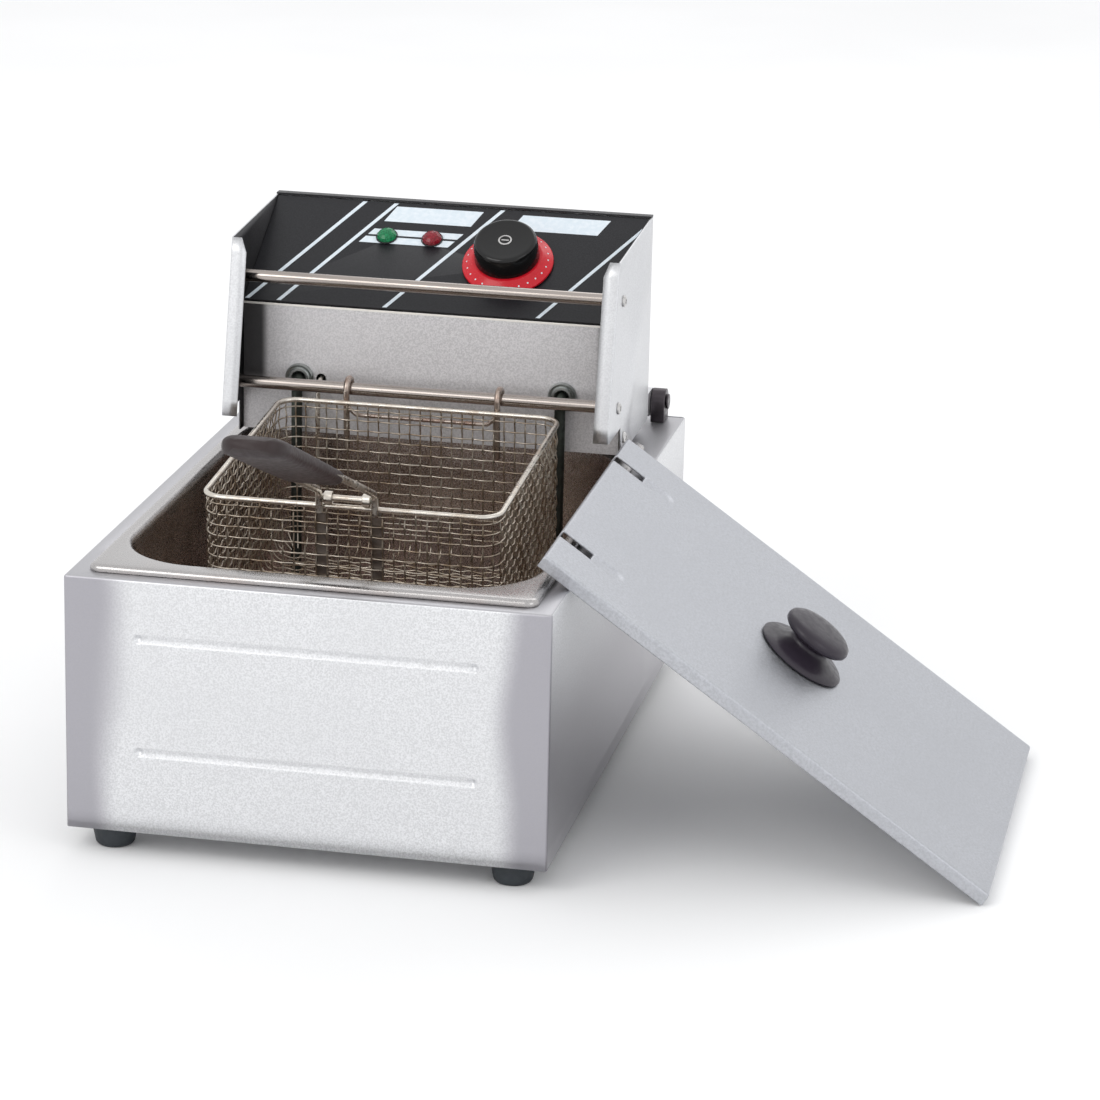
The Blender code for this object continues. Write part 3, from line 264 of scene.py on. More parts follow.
def tank_finish():
    """Bright at the rim, stained a dark brown by hot oil below it."""
    f, base = grained_steel("tank_steel", (0.46, 0.445, 0.44), 0.24, contrast=0.06)
    z = f.axis("Z")
    edge = f.span(f.noise(30, 3), 0.3, 0.7, -0.003, 0.003)
    deep = f.span(f.math("ADD", z, edge), RIM_TOP - 0.001, RIM_TOP - 0.012)
    stain = f.mix(f.span(f.noise(22, 4), 0.35, 0.7), (0.62, 0.54, 0.51), (0.42, 0.345, 0.31))
    f.colour(f.mix(deep, base, stain))
    return f.mat


def wire_finish(name, tone, stain, amount, roughness=0.24):
    """Plated wire with patches that frying has stained."""
    f = Finish(name, tone, roughness, 1.0)
    patches = f.span(f.noise(60, 4, rough=0.65), 0.62 - amount * 0.4, 0.72)
    f.colour(f.mix(f.math("MULTIPLY", patches, amount), tone, stain))
    f.rough(f.span(f.noise(240, 3), 0.3, 0.7, roughness - 0.05, roughness + 0.18))
    f.bump(f.noise(500, 3), 0.00005, 0.4)
    return f.mat


def moulding(name, colour, roughness, grain=1400, depth=0.00005, light=1.5, **sockets):
    """Moulded plastic with a fine skin and slight colour variation."""
    f = Finish(name, colour, roughness, **sockets)
    f.colour(f.mix(f.span(f.noise(35, 3), 0.35, 0.7, 0, 0.5), colour, Vector(colour) * light))
    f.rough(f.span(f.noise(grain * 0.3, 3), 0.3, 0.7, roughness - 0.05, roughness + 0.08))
    f.bump(f.noise(grain, 2), depth, 0.5)
    return f.mat


def lens_finish(name, colour, glow):
    """Coloured plastic lens with painted glints of small facets."""
    f = Finish(name, colour, 0.12, Specular_IOR_Level=0.35, Emission_Strength=0.03)
    f.set(f.shader, Emission_Color=(*glow, 1))
    painted_glint = f.noise(900, 1)
    # painted glints: noise spots brighten the lens colour
    f.colour(f.mix(f.span(painted_glint, 0.4, 0.6), colour, Vector(colour) * 1.8))
    return f.mat


def panel_finish():
    """Black film with a fine weave."""
    f = Finish("panel_black", (0.010, 0.010, 0.012), 0.34, Specular_IOR_Level=0.3)
    weave = f.noise(1500, 2)
    f.colour(f.mix(f.span(weave, 0.35, 0.65), (0.008, 0.008, 0.010), (0.017, 0.017, 0.020)))
    f.rough(f.span(f.noise(40, 3), 0.3, 0.7, 0.28, 0.40))
    f.bump(weave, 0.00003, 0.4)
    return f.mat


def print_finish():
    """Silver-blue ink."""
    f = Finish("panel_print", (0.52, 0.60, 0.66), 0.45)
    f.colour(f.mix(f.span(f.noise(300, 3), 0.35, 0.7), (0.66, 0.74, 0.80), (0.74, 0.80, 0.85)))
    return f.mat


def brushed(name, tone, roughness, scale):
    """Polished bar or part with fine lines along its length."""
    f = Finish(name, tone, roughness, 1.0)
    lines = f.noise(60, 3, f.scaled(scale))
    f.colour(f.mix(f.span(lines, 0.35, 0.7), tone, Vector(tone) * 0.84))
    f.rough(f.span(lines, 0.3, 0.7, roughness - 0.04, roughness + 0.08))
    f.bump(lines, 0.00003, 0.3)
    return f.mat


casing_steel = casing_finish()
sheet_steel = grained_steel("sheet_steel", (0.66, 0.66, 0.675), 0.42)[0].mat
lid_steel = grained_steel("lid_steel", (0.51, 0.52, 0.55), 0.46, grain=700, contrast=0.13)[0].mat
head_steel = head_finish()
wing_steel, cover_steel = wing_finish(), cover_finish()
tank_steel = tank_finish()
rod_steel = brushed("rod_steel", (0.43, 0.385, 0.355), 0.19, (0.2, 6, 6))
screw_steel = brushed("screw_steel", (0.62, 0.61, 0.60), 0.30, (4, 4, 4))
nickel_wire = wire_finish("nickel_wire", (0.66, 0.62, 0.56), (0.30, 0.19, 0.10), 0.45)
mesh_wire = wire_finish("mesh_wire", (0.56, 0.51, 0.44), (0.20, 0.12, 0.055), 0.75, 0.28)
hook_wire = wire_finish("hook_wire", (0.60, 0.55, 0.50), (0.22, 0.09, 0.045), 0.8)
strap_steel = wire_finish("strap_steel", (0.34, 0.31, 0.29), (0.14, 0.10, 0.07), 0.8, 0.38)
element_sheath = wire_finish("element_sheath", (0.075, 0.085, 0.075), (0.03, 0.03, 0.025), 0.7,
                             0.45)
gland_metal = brushed("gland_metal", (0.40, 0.42, 0.41), 0.38, (3, 3, 3))
ear_metal = brushed("ear_metal", (0.085, 0.075, 0.082), 0.36, (1, 1, 8))
brass = brushed("plain_brass", (0.72, 0.52, 0.24), 0.30, (4, 4, 4))
rubber = moulding("foot_rubber", (0.022, 0.027, 0.032), 0.62, 900, 0.0001)
grip_plastic = moulding("grip_plastic", (0.024, 0.015, 0.015), 0.46, 1100, 0.00012,
                        Specular_IOR_Level=0.35)
knob_plastic = moulding("lid_knob_plastic", (0.022, 0.017, 0.025), 0.34, 900, 0.00006,
                        Specular_IOR_Level=0.4)
black_plastic = moulding("black_plastic", (0.012, 0.012, 0.013), 0.35)
gloss_black = moulding("gloss_black", (0.006, 0.006, 0.006), 0.14, 2200, 0.00001,
                       Specular_IOR_Level=0.35)
gloss_red = moulding("gloss_red", (0.60, 0.010, 0.022), 0.20, 2200, 0.00001, 1.15,
                     Specular_IOR_Level=0.35)
insulator = moulding("insulator", (0.62, 0.60, 0.54), 0.55, 800, 0.00008, 0.85)
green_lens = lens_finish("green_lens", (0.006, 0.12, 0.045), (0.0, 0.30, 0.10))
red_lens = lens_finish("red_lens", (0.14, 0.008, 0.014), (0.35, 0.0, 0.02))
panel_black = panel_finish()
panel_print = print_finish()


# ================================================================ mesh helpers
SOFT_ANGLE = 35      # degrees; edges sharper than this are shaded as edges
FLAT_ANGLE = 20      # keeps a flat face flat beside a narrow bevel
BEVEL_ANGLE = 28     # edges sharper than this are rounded


def shade(mesh, angle=SOFT_ANGLE):
    mesh.shade_smooth()
    mesh.set_sharp_from_angle(angle=radians(angle))
    return mesh


def as_mesh(bm, angle=SOFT_ANGLE, fix=True):
    """A mesh of the drawing, its faces turned outwards unless they are right already."""
    if fix:
        bmesh.ops.recalc_face_normals(bm, faces=bm.faces)
    mesh = bpy.data.meshes.new("shape")
    bm.to_mesh(mesh)
    bm.free()
    return shade(mesh, angle)


def piece(name, mesh, finish, rides, replaced=(), slot=None):
    """One finished piece, its place in its mesh, riding on a body of the frame."""
    obj = bpy.data.objects.new(name, mesh)
    if finish is not None:
        mesh.materials.clear()
        mesh.materials.append(finish)
    bpy.context.scene.collection.objects.link(obj)
    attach(obj, rides)
    if replaced:
        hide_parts(*replaced)
    return obj


def rounded(x0, x1, y0, y1, r, steps=8):
    """A rectangle with round corners, counter-clockwise, in the drawing's X and Y."""
    points = []
    for cx, cy, start in ((x1 - r, y0 + r, -90), (x1 - r, y1 - r, 0), (x0 + r, y1 - r, 90),
                          (x0 + r, y0 + r, 180)):
        for k in range(steps + 1):
            a = radians(start + 90 * k / steps)
            points.append((cx + r * cos(a), cy + r * sin(a)))
    return points


def skin(loops, wrap=False, angle=SOFT_ANGLE):
    """Faces between equal rings of places, closed by a cap at each end or wrapped end to end."""
    bm = bmesh.new()
    rows = [[bm.verts.new(Vector(p)) for p in loop] for loop in loops]
    pairs = list(zip(rows, rows[1:])) + ([(rows[-1], rows[0])] if wrap else [])
    for low, high in pairs:
        for k in range(len(low)):
            n = (k + 1) % len(low)
            bm.faces.new((low[k], low[n], high[n], high[k]))
    if not wrap:
        bm.faces.new(list(reversed(rows[0])))
        bm.faces.new(rows[-1])
    return as_mesh(bm, angle)


def frame_to(place, axis):
    """Moves a drawing to a place, its Z along an axis."""
    turn = Vector(axis).to_track_quat("Z", "Y").to_matrix().to_4x4()
    return Matrix.Translation(Vector(place)) @ turn


def turned(profile, place, axis=(0, 0, 1), sides=48, angle=SOFT_ANGLE, ring=False):
    """A (radius, height) profile spun about an axis; from axis to axis, or a closed ring."""
    bm = bmesh.new()
    rows = []
    for radius, height in profile:
        if radius < 1e-7:
            rows.append([bm.verts.new((0, 0, height))])
        else:
            around = [2 * pi * k / sides for k in range(sides)]
            rows.append([bm.verts.new((radius * cos(a), radius * sin(a), height)) for a in around])
    for low, high in list(zip(rows, rows[1:])) + ([(rows[-1], rows[0])] if ring else []):
        for k in range(sides):
            n = (k + 1) % sides
            corners = [low[k], low[n]] if len(low) > 1 else [low[0]]
            corners += [high[n], high[k]] if len(high) > 1 else [high[0]]
            bm.faces.new(corners)
    bm.transform(frame_to(place, axis))
    return as_mesh(bm, angle)


def softened(profile, radius=0.0004, steps=3):
    """A (radius, height) profile with its inner corners rounded."""
    out = [profile[0]]
    for before, corner, after in zip(profile, profile[1:], profile[2:]):
        a, b, c = Vector(before), Vector(corner), Vector(after)
        reach = min(radius, (a - b).length * 0.45, (c - b).length * 0.45)
        start, end = b + (a - b).normalized() * reach, b + (c - b).normalized() * reach
        for k in range(steps + 1):
            t = k / steps
            out.append(tuple(start * (1 - t) ** 2 + b * 2 * t * (1 - t) + end * t ** 2))
    return out + [profile[-1]]


def tube(path, radius, sides=16, closed=False):
    """A round wire along a path, its rings turned as little as possible from one to the next."""
    path = [Vector(p) for p in path]
    count = len(path)
    radii = radius if isinstance(radius, list) else [radius] * count
    ahead = []
    for k in range(count):
        a = path[(k - 1) % count] if closed or k else path[k]
        b = path[(k + 1) % count] if closed or k < count - 1 else path[k]
        ahead.append((b - a).normalized())
    side = ahead[0].orthogonal().normalized()
    loops = []
    for k, place in enumerate(path):
        side = (side - ahead[k] * side.dot(ahead[k])).normalized()
        up = ahead[k].cross(side)
        around = [2 * pi * n / sides for n in range(sides)]
        loops.append([place + (side * cos(a) + up * sin(a)) * radii[k] for a in around])
    return skin(loops, wrap=closed, angle=50)


def arc(centre, along, side, radius, start, end, steps=8):
    """Places round a centre, from start to end degrees, measured from one way towards another."""
    along, side, centre = Vector(along), Vector(side), Vector(centre)
    angles = [radians(start + (end - start) * k / steps) for k in range(steps + 1)]
    return [centre + along * radius * cos(a) + side * radius * sin(a) for a in angles]


def joined(*meshes):
    bm = bmesh.new()
    for mesh in meshes:
        bm.from_mesh(mesh)
    return as_mesh(bm, fix=False)


def slab(outline, lift, thick, place=lambda a, b, h: Vector((a, b, h)), bevel=0.0):
    """A flat outline given a thickness, its edges eased."""
    bm = bmesh.new()
    low = [bm.verts.new(place(a, b, lift)) for a, b in outline]
    high = [bm.verts.new(place(a, b, lift + thick)) for a, b in outline]
    bm.faces.new(low)
    bm.faces.new(high)
    for k in range(len(outline)):
        n = (k + 1) % len(outline)
        bm.faces.new((low[k], low[n], high[n], high[k]))
    bmesh.ops.recalc_face_normals(bm, faces=bm.faces)
    if bevel:
        ease(bm, bevel)
    return as_mesh(bm, FLAT_ANGLE if bevel else SOFT_ANGLE)


def ease(bm, width, segments=2):
    sharp = [e for e in bm.edges
             if len(e.link_faces) == 2 and e.calc_face_angle(0) > radians(BEVEL_ANGLE)]
    bmesh.ops.bevel(bm, geom=sharp, offset=width, segments=segments, profile=0.5,
                    affect="EDGES", clamp_overlap=True)


def eased(node, width=0.0004, segments=2):
    """A copy of a frame node with its flat faces made whole and its edges rounded a little."""
    bm = bmesh.new()
    bm.from_mesh(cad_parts[node].data)
    bmesh.ops.remove_doubles(bm, verts=bm.verts, dist=0.000002)
    bmesh.ops.dissolve_limit(bm, angle_limit=radians(1.0), verts=bm.verts, edges=bm.edges)
    ease(bm, width, segments)
    return as_mesh(bm, FLAT_ANGLE if segments < 3 else SOFT_ANGLE)


def eased_piece(node, finish, rides, slot, width=0.0004, segments=2):
    return piece(node + "_finished", eased(node, width, segments), finish, rides, [node], slot)


def here(points):
    return [Vector(p) + ORIGIN for p in points]


def placed(mesh):
    mesh.transform(Matrix.Translation(ORIGIN))
    return mesh


def walled(obj):
    """Gives a drawn surface the sheet's thickness on its inner side."""
    mod = obj.modifiers.new("wall", "SOLIDIFY")
    mod.thickness, mod.offset = SHEET, -1.0


def rectangle(length, width):
    x, y = length / 2, width / 2
    return [(-x, -y), (x, -y), (x, y), (-x, y)]


# ================================================================ node trees for what repeats
def geometry_tree(name, inputs):
    tree = bpy.data.node_groups.new(name, "GeometryNodeTree")
    tree.interface.new_socket("Geometry", in_out="INPUT", socket_type="NodeSocketGeometry")
    for label, kind, value in inputs:
        socket = tree.interface.new_socket(label, in_out="INPUT", socket_type=kind)
        if value is not None:
            socket.default_value = value
    tree.interface.new_socket("Geometry", in_out="OUTPUT", socket_type="NodeSocketGeometry")
    return tree, tree.nodes.new("NodeGroupInput"), tree.nodes.new("NodeGroupOutput")


def scatter_tree():
    """Puts one shape on every point, its Z along the point's aim."""
    tree, start, end = geometry_tree("set_out_pieces", [
        ("Shape", "NodeSocketObject", None), ("Size", "NodeSocketFloat", 1.0),
        ("Spin", "NodeSocketFloat", 0.0), ("Finish", "NodeSocketMaterial", None)])
    new, link = tree.nodes.new, tree.links.new
    info, aim, align = new("GeometryNodeObjectInfo"), new("GeometryNodeInputNamedAttribute"), \
        new("FunctionNodeAlignRotationToVector")
    aim.data_type = "FLOAT_VECTOR"
    aim.inputs["Name"].default_value = "aim"
    spin, turn = new("FunctionNodeRotateRotation"), new("FunctionNodeAxisAngleToRotation")
    spin.rotation_space = "LOCAL"
    turn.inputs["Axis"].default_value = (0, 0, 1)
    points, copies = new("GeometryNodeMeshToPoints"), new("GeometryNodeInstanceOnPoints")
    real, coat = new("GeometryNodeRealizeInstances"), new("GeometryNodeSetMaterial")
    link(start.outputs["Geometry"], points.inputs["Mesh"])
    link(points.outputs["Points"], copies.inputs["Points"])
    link(start.outputs["Shape"], info.inputs["Object"])
    link(info.outputs["Geometry"], copies.inputs["Instance"])
    link(aim.outputs["Attribute"], align.inputs["Vector"])
    link(align.outputs["Rotation"], spin.inputs["Rotation"])
    link(start.outputs["Spin"], turn.inputs["Angle"])
    link(turn.outputs["Rotation"], spin.inputs["Rotate By"])
    link(spin.outputs["Rotation"], copies.inputs["Rotation"])
    link(start.outputs["Size"], copies.inputs["Scale"])
    link(copies.outputs["Instances"], real.inputs["Geometry"])
    link(real.outputs["Geometry"], coat.inputs["Geometry"])
    link(start.outputs["Finish"], coat.inputs["Material"])
    link(coat.outputs["Geometry"], end.inputs["Geometry"])
    return tree


def weave_tree():
    """Makes crimped round wires of drawn lines: each point moves out by its wave times the crimp."""
    tree, start, end = geometry_tree("woven_wires", [
        ("Wire radius", "NodeSocketFloat", 0.0005), ("Crimp", "NodeSocketFloat", 0.0005),
        ("Sides", "NodeSocketInt", 6), ("Finish", "NodeSocketMaterial", None)])
    new, link = tree.nodes.new, tree.links.new
    out, shift, scale = new("GeometryNodeInputNamedAttribute"), new("GeometryNodeSetPosition"), \
        new("ShaderNodeVectorMath")
    out.data_type = "FLOAT_VECTOR"
    out.inputs["Name"].default_value = "wave"
    scale.operation = "SCALE"
    curve, ring, sweep = new("GeometryNodeMeshToCurve"), new("GeometryNodeCurvePrimitiveCircle"), \
        new("GeometryNodeCurveToMesh")
    sweep.inputs["Fill Caps"].default_value = True
    real, coat, smooth = new("GeometryNodeRealizeInstances"), new("GeometryNodeSetMaterial"), \
        new("GeometryNodeSetShadeSmooth")
    link(out.outputs["Attribute"], scale.inputs[0])
    link(start.outputs["Crimp"], scale.inputs["Scale"])
    link(start.outputs["Geometry"], shift.inputs["Geometry"])
    link(scale.outputs["Vector"], shift.inputs["Offset"])
    link(shift.outputs["Geometry"], curve.inputs["Mesh"])
    link(start.outputs["Wire radius"], ring.inputs["Radius"])
    link(start.outputs["Sides"], ring.inputs["Resolution"])
    link(curve.outputs["Curve"], sweep.inputs["Curve"])
    link(ring.outputs["Curve"], sweep.inputs["Profile Curve"])
    link(sweep.outputs["Mesh"], smooth.inputs["Geometry"])
    link(smooth.outputs["Geometry"], real.inputs["Geometry"])
    link(real.outputs["Geometry"], coat.inputs["Geometry"])
    link(start.outputs["Finish"], coat.inputs["Material"])
    link(coat.outputs["Geometry"], end.inputs["Geometry"])
    return tree


def grown(base, tree, **values):
    """The tree's result on a base mesh, as a plain mesh."""
    obj = bpy.data.objects.new("seed", base)
    bpy.context.scene.collection.objects.link(obj)
    mod = obj.modifiers.new("grow", "NODES")
    mod.node_group = tree
    for socket in tree.interface.items_tree:
        key = socket.name.replace(" ", "_")
        if socket.in_out == "INPUT" and key in values:
            mod[socket.identifier] = values[key]
    bpy.context.view_layer.update()
    graph = bpy.context.evaluated_depsgraph_get()
    mesh = bpy.data.meshes.new_from_object(obj.evaluated_get(graph), depsgraph=graph)
    obj.modifiers.clear()
    bpy.data.objects.remove(obj)
    return mesh


SCATTER, WEAVE = scatter_tree(), weave_tree()


def points_mesh(places, aims):
    mesh = bpy.data.meshes.new("places")
    mesh.from_pydata([tuple(p) for p in places], [], [])
    aim = mesh.attributes.new("aim", "FLOAT_VECTOR", "POINT")
    aim.data.foreach_set("vector", np.array([tuple(a) for a in aims], np.float32).ravel())
    return mesh


def set_out(name, shape, places, aims, finish, rides, replaced=(), slot=None, spin=0.0):
    """Copies of one small shape, made one mesh."""
    model = bpy.data.objects.new(name + "_shape", shape)
    bpy.context.scene.collection.objects.link(model)
    mesh = grown(points_mesh(places, aims), SCATTER, Shape=model, Size=1.0, Spin=spin, Finish=finish)
    bpy.data.objects.remove(model)
    return piece(name, shade(mesh), finish, rides, replaced, slot)


# ================================================================ body
BEAD_DEPTH, DIMPLE_R, DIMPLE_DEPTH = 0.0011, 0.0026, 0.0012


def spaced(start, end, step):
    """Even stops from start up to, but not on, end."""
    count = max(1, round((end - start) / step))
    return [start + (end - start) * k / count for k in range(count)]


def bead_depth(x, z):
    """How far the front is pressed in at a place: two level beads with a deeper dimple at each end."""
    depth = 0.0
    for height in BEADS:
        half = BEAD_LEN / 2 - BEAD_R
        away = hypot(max(abs(x) - half, 0), z - height)
        if away < BEAD_R:
            depth += BEAD_DEPTH * (1 - away / BEAD_R) ** 0.8
        to_end = hypot(abs(x) - half, z - height)
        if to_end < DIMPLE_R:
            depth += DIMPLE_DEPTH * (1 - (to_end / DIMPLE_R) ** 2)
    return depth


def casing_mesh():
    """Front, sides and deck in one folded sheet, with round edges, beads and the tank's hole."""
    half, rear, r = BODY_W / 2, BODY_D - 0.0018, 0.0016
    coarse, medium, fine = 0.012, 0.004, 0.0006
    bead = BEAD_LEN / 2
    xs = []
    for a, b, step in ((-half + r, -bead - 0.002, medium), (-bead - 0.002, -bead + 0.008, fine),
                       (-bead + 0.008, bead - 0.008, coarse), (bead - 0.008, bead + 0.002, fine),
                       (bead + 0.002, half - r, medium)):
        xs += spaced(a, b, step)
    xs.append(half - r)

    def outline(inset):
        """From the rear left corner forwards, across the front and back along the right."""
        turn = [radians(90 * k / 4) for k in range(1, 4)]
        reach = r - inset
        left = [(-half + inset, rear - inset if inset else rear)]
        left += [(-half + inset, y) for y in (0.30, 0.15, 0.05)] + [(-half + inset, r)]
        left += [(-half + r - reach * cos(a), r - reach * sin(a)) for a in turn]
        front = [(x, inset) for x in xs]
        right = [(-x, y) for x, y in reversed(left)]
        return left + front + right

    rows, finest, margin = [], 0.0005, 0.004
    low, high = BEADS
    for a, b, step in ((FOOT_H, low - margin, coarse), (low - margin, low + margin, finest),
                       (low + margin, high - margin, coarse),
                       (high - margin, high + margin, finest),
                       (high + margin, DECK_Z - r, coarse)):
        rows += spaced(a, b, step)
    rows.append(DECK_Z - r)
    loops = [[(x, y + (bead_depth(x, z) if y < 1e-6 else 0), z) for x, y in outline(0)]
             for z in rows]
    for k in range(1, 5):
        a = radians(90 * k / 4)
        loops.append([(x, y, DECK_Z - r + r * sin(a)) for x, y in outline(r * (1 - cos(a)))])
    bm = bmesh.new()
    grid = [[bm.verts.new(p) for p in loop] for loop in loops]
    for low, high in zip(grid, grid[1:]):
        for k in range(len(low) - 1):
            bm.faces.new((low[k], low[k + 1], high[k + 1], high[k]))
    room = 0.0042
    hole = rounded(-TANK_OPEN_W / 2 - room, TANK_OPEN_W / 2 + room, TANK_FRONT - room,
                   TANK_REAR + room, TANK_CORNER + room, 8)
    inner = [bm.verts.new((x, y, DECK_Z)) for x, y in hole]
    top = grid[-1]
    edges = [bm.edges.new((a, b)) for a, b in zip(inner, inner[1:] + inner[:1])]
    edges += [bm.edges.get((a, b)) for a, b in zip(top, top[1:])]
    edges.append(bm.edges.new((top[-1], top[0])))
    deck = bmesh.ops.triangle_fill(bm, use_beauty=True, edges=edges, normal=(0, 0, 1))
    for face in [f for f in deck["geom"] if isinstance(f, bmesh.types.BMFace)]:
        middle, inside = face.calc_center_median(), 0.01
        if (abs(middle.x) < TANK_OPEN_W / 2 - inside
                and TANK_FRONT + inside < middle.y < TANK_REAR - inside):
            bm.faces.remove(face)
    bmesh.ops.recalc_face_normals(bm, faces=bm.faces)
    if sum(f.normal.z * f.calc_area() for f in bm.faces) < 0:
        bmesh.ops.reverse_faces(bm, faces=bm.faces)
    return as_mesh(bm, 40, fix=False)


def make_body():
    walled(piece("casing", placed(casing_mesh()), casing_steel, "body", ["body_casing"],
                 "satin_steel"))
    rear = slab(rounded(-BODY_W / 2, BODY_W / 2, FOOT_H, DECK_Z, 0.002, 4), BODY_D - SHEET,
                SHEET - 0.0002, lambda a, b, h: Vector((a, h, b)) + ORIGIN, 0.0003)
    piece("rear_panel_finished", rear, sheet_steel, "body", ["rear_panel"], "satin_steel")
    eased_piece("base_plate", sheet_steel, "body", "satin_steel", 0.0002, 1)
    profile = [(0, 0.0016), (0.0040, 0.0016), (0.0044, 0.0), (0.0100, 0.0), (0.0116, 0.0016),
               (0.0140, 0.0140), (0.0137, 0.0147), (0, 0.0147)]
    foot = turned(softened(profile, 0.0009), (0, 0, 0), sides=40)
    places = here([(s * (BODY_W / 2 - FOOT_INSET_X), y, 0) for s in (-1, 1)
                   for y in (FOOT_INSET_Y, BODY_D - FOOT_INSET_Y)])
    set_out("rubber_feet", foot, places, [(0, 0, 1)] * 4, rubber, "body",
            [f"foot_{e}_{s}" for e in ("front", "rear") for s in ("left", "right")], "foot_rubber")
    for side in ("left", "right"):
        eased_piece(f"hinge_ear_{side}", ear_metal, "body", "ear_finish", 0.0016, 4)
        eased_piece(f"hinge_pin_{side}", ear_metal, "body", "bright_steel", 0.0004)


def make_tank():
    """The drawn pan: flat flange, turned-down round edge, round corners and a dished bottom."""
    steps = 14

    def wall(grow, z, lean=0.0):
        x = TANK_OPEN_W / 2 + grow - lean
        return [(a, b, z) for a, b in rounded(-x, x, TANK_FRONT - grow + lean, TANK_REAR + grow - lean,
                                              TANK_CORNER + grow - lean * 0.6, steps)]

    def edge(inset, z):
        x = TANK_OPEN_W / 2 + RIM_SIDE - inset
        return [(a, b, z) for a, b in rounded(-x, x, TANK_FRONT - RIM_FRONT + inset,
                                              TANK_REAR + RIM_REAR - inset,
                                              max(0.0075 - inset, 0.001), steps)]

    low, soft, fold, lip = DECK_Z + 0.0003, 0.012, 0.0034, 0.0045
    loops = []
    for k in range(7):
        a = radians(90 * k / 6)
        loops.append(wall(-soft * (1 - sin(a)), TANK_BOTTOM + soft * (1 - cos(a)), TANK_DRAFT))
    for t in (0.25, 0.5, 0.75):
        z = TANK_BOTTOM + soft + (RIM_TOP - 0.005 - TANK_BOTTOM - soft) * t
        loops.append(wall(0, z, TANK_DRAFT * (1 - t)))
    for k in range(6):
        a = radians(90 * k / 5)
        loops.append(wall(lip * (1 - cos(a)), RIM_TOP - lip + lip * sin(a)))
    for k in range(7):
        a = radians(90 * k / 6)
        loops.append(edge(fold * (1 - sin(a)), RIM_TOP - fold * (1 - cos(a))))
    loops += [edge(0.0, low), edge(SHEET, low)]
    for k in range(5):
        a = radians(90 * (1 - k / 4))
        loops.append(edge(SHEET + (fold - SHEET) * (1 - sin(a)),
                          RIM_TOP - SHEET - (fold - SHEET) * (1 - cos(a))))
    loops += [wall(0.0055, RIM_TOP - SHEET), wall(SHEET, RIM_TOP - 0.0055),
              wall(SHEET, TANK_BOTTOM + soft, TANK_DRAFT),
              wall(SHEET - soft * 0.3, TANK_BOTTOM + soft * 0.2 - SHEET, TANK_DRAFT),
              wall(SHEET - soft, TANK_BOTTOM - SHEET, TANK_DRAFT)]
    piece("oil_pan", placed(skin(loops, angle=40)), tank_steel, "body", ["oil_tank"], "tank_steel")


# ================================================================ control head
def on_fascia(x, up, out=0.0):
    """A place on the slanted panel: across, up its slope and out from its face."""
    slope = Vector((x, HEAD_FRONT + up * cos(FASCIA_TILT), FASCIA_LOW_Z + up * sin(FASCIA_TILT)))
    return ORIGIN + slope + FASCIA_OUT * out


def printed(outline, lift=0.00002, thick=0.00006):
    return slab(outline, lift, thick, on_fascia)


def slanted(rear_left, front_left, width, up_low, up_high):
    """A band between two heights on the panel that leans as its ends say."""
    return [(front_left, up_low), (front_left + width, up_low), (rear_left + width, up_high),
            (rear_left, up_high)]


def make_prints():
    """Four slanted lines, two blank labels and the lamps' plate, which a thin line divides."""
    margin, label_w = 0.0012, 0.0577
    bands = [slanted(rear, front, 0.0029, margin, FASCIA_LEN - margin) for rear, front in
             ((-0.066, -0.1228), (-0.045, -0.102), (0.026, -0.0325))]
    bands.append(slanted(0.1205, 0.0672, 0.0027, margin, FASCIA_LEN - 0.0100))
    bands.append(slanted(-0.0426, -0.0483, label_w, 0.0805, 0.0950))
    bands.append(slanted(0.0415, 0.0352, label_w, 0.0800, 0.0945))
    plate_left, plate_w, gap = -0.0607, 0.0590, 0.0009
    low, high, middle = 0.0597, 0.0730, 0.0666
    lean = 0.0077 / (high - low)
    for a, b in ((low, middle - gap), (middle + gap, high)):
        bands.append(slanted(plate_left + (b - low) * lean, plate_left + (a - low) * lean,
                             plate_w, a, b))
    piece("panel_prints", joined(*[printed(b) for b in bands]), panel_print, "head", (),
          "black_panel")


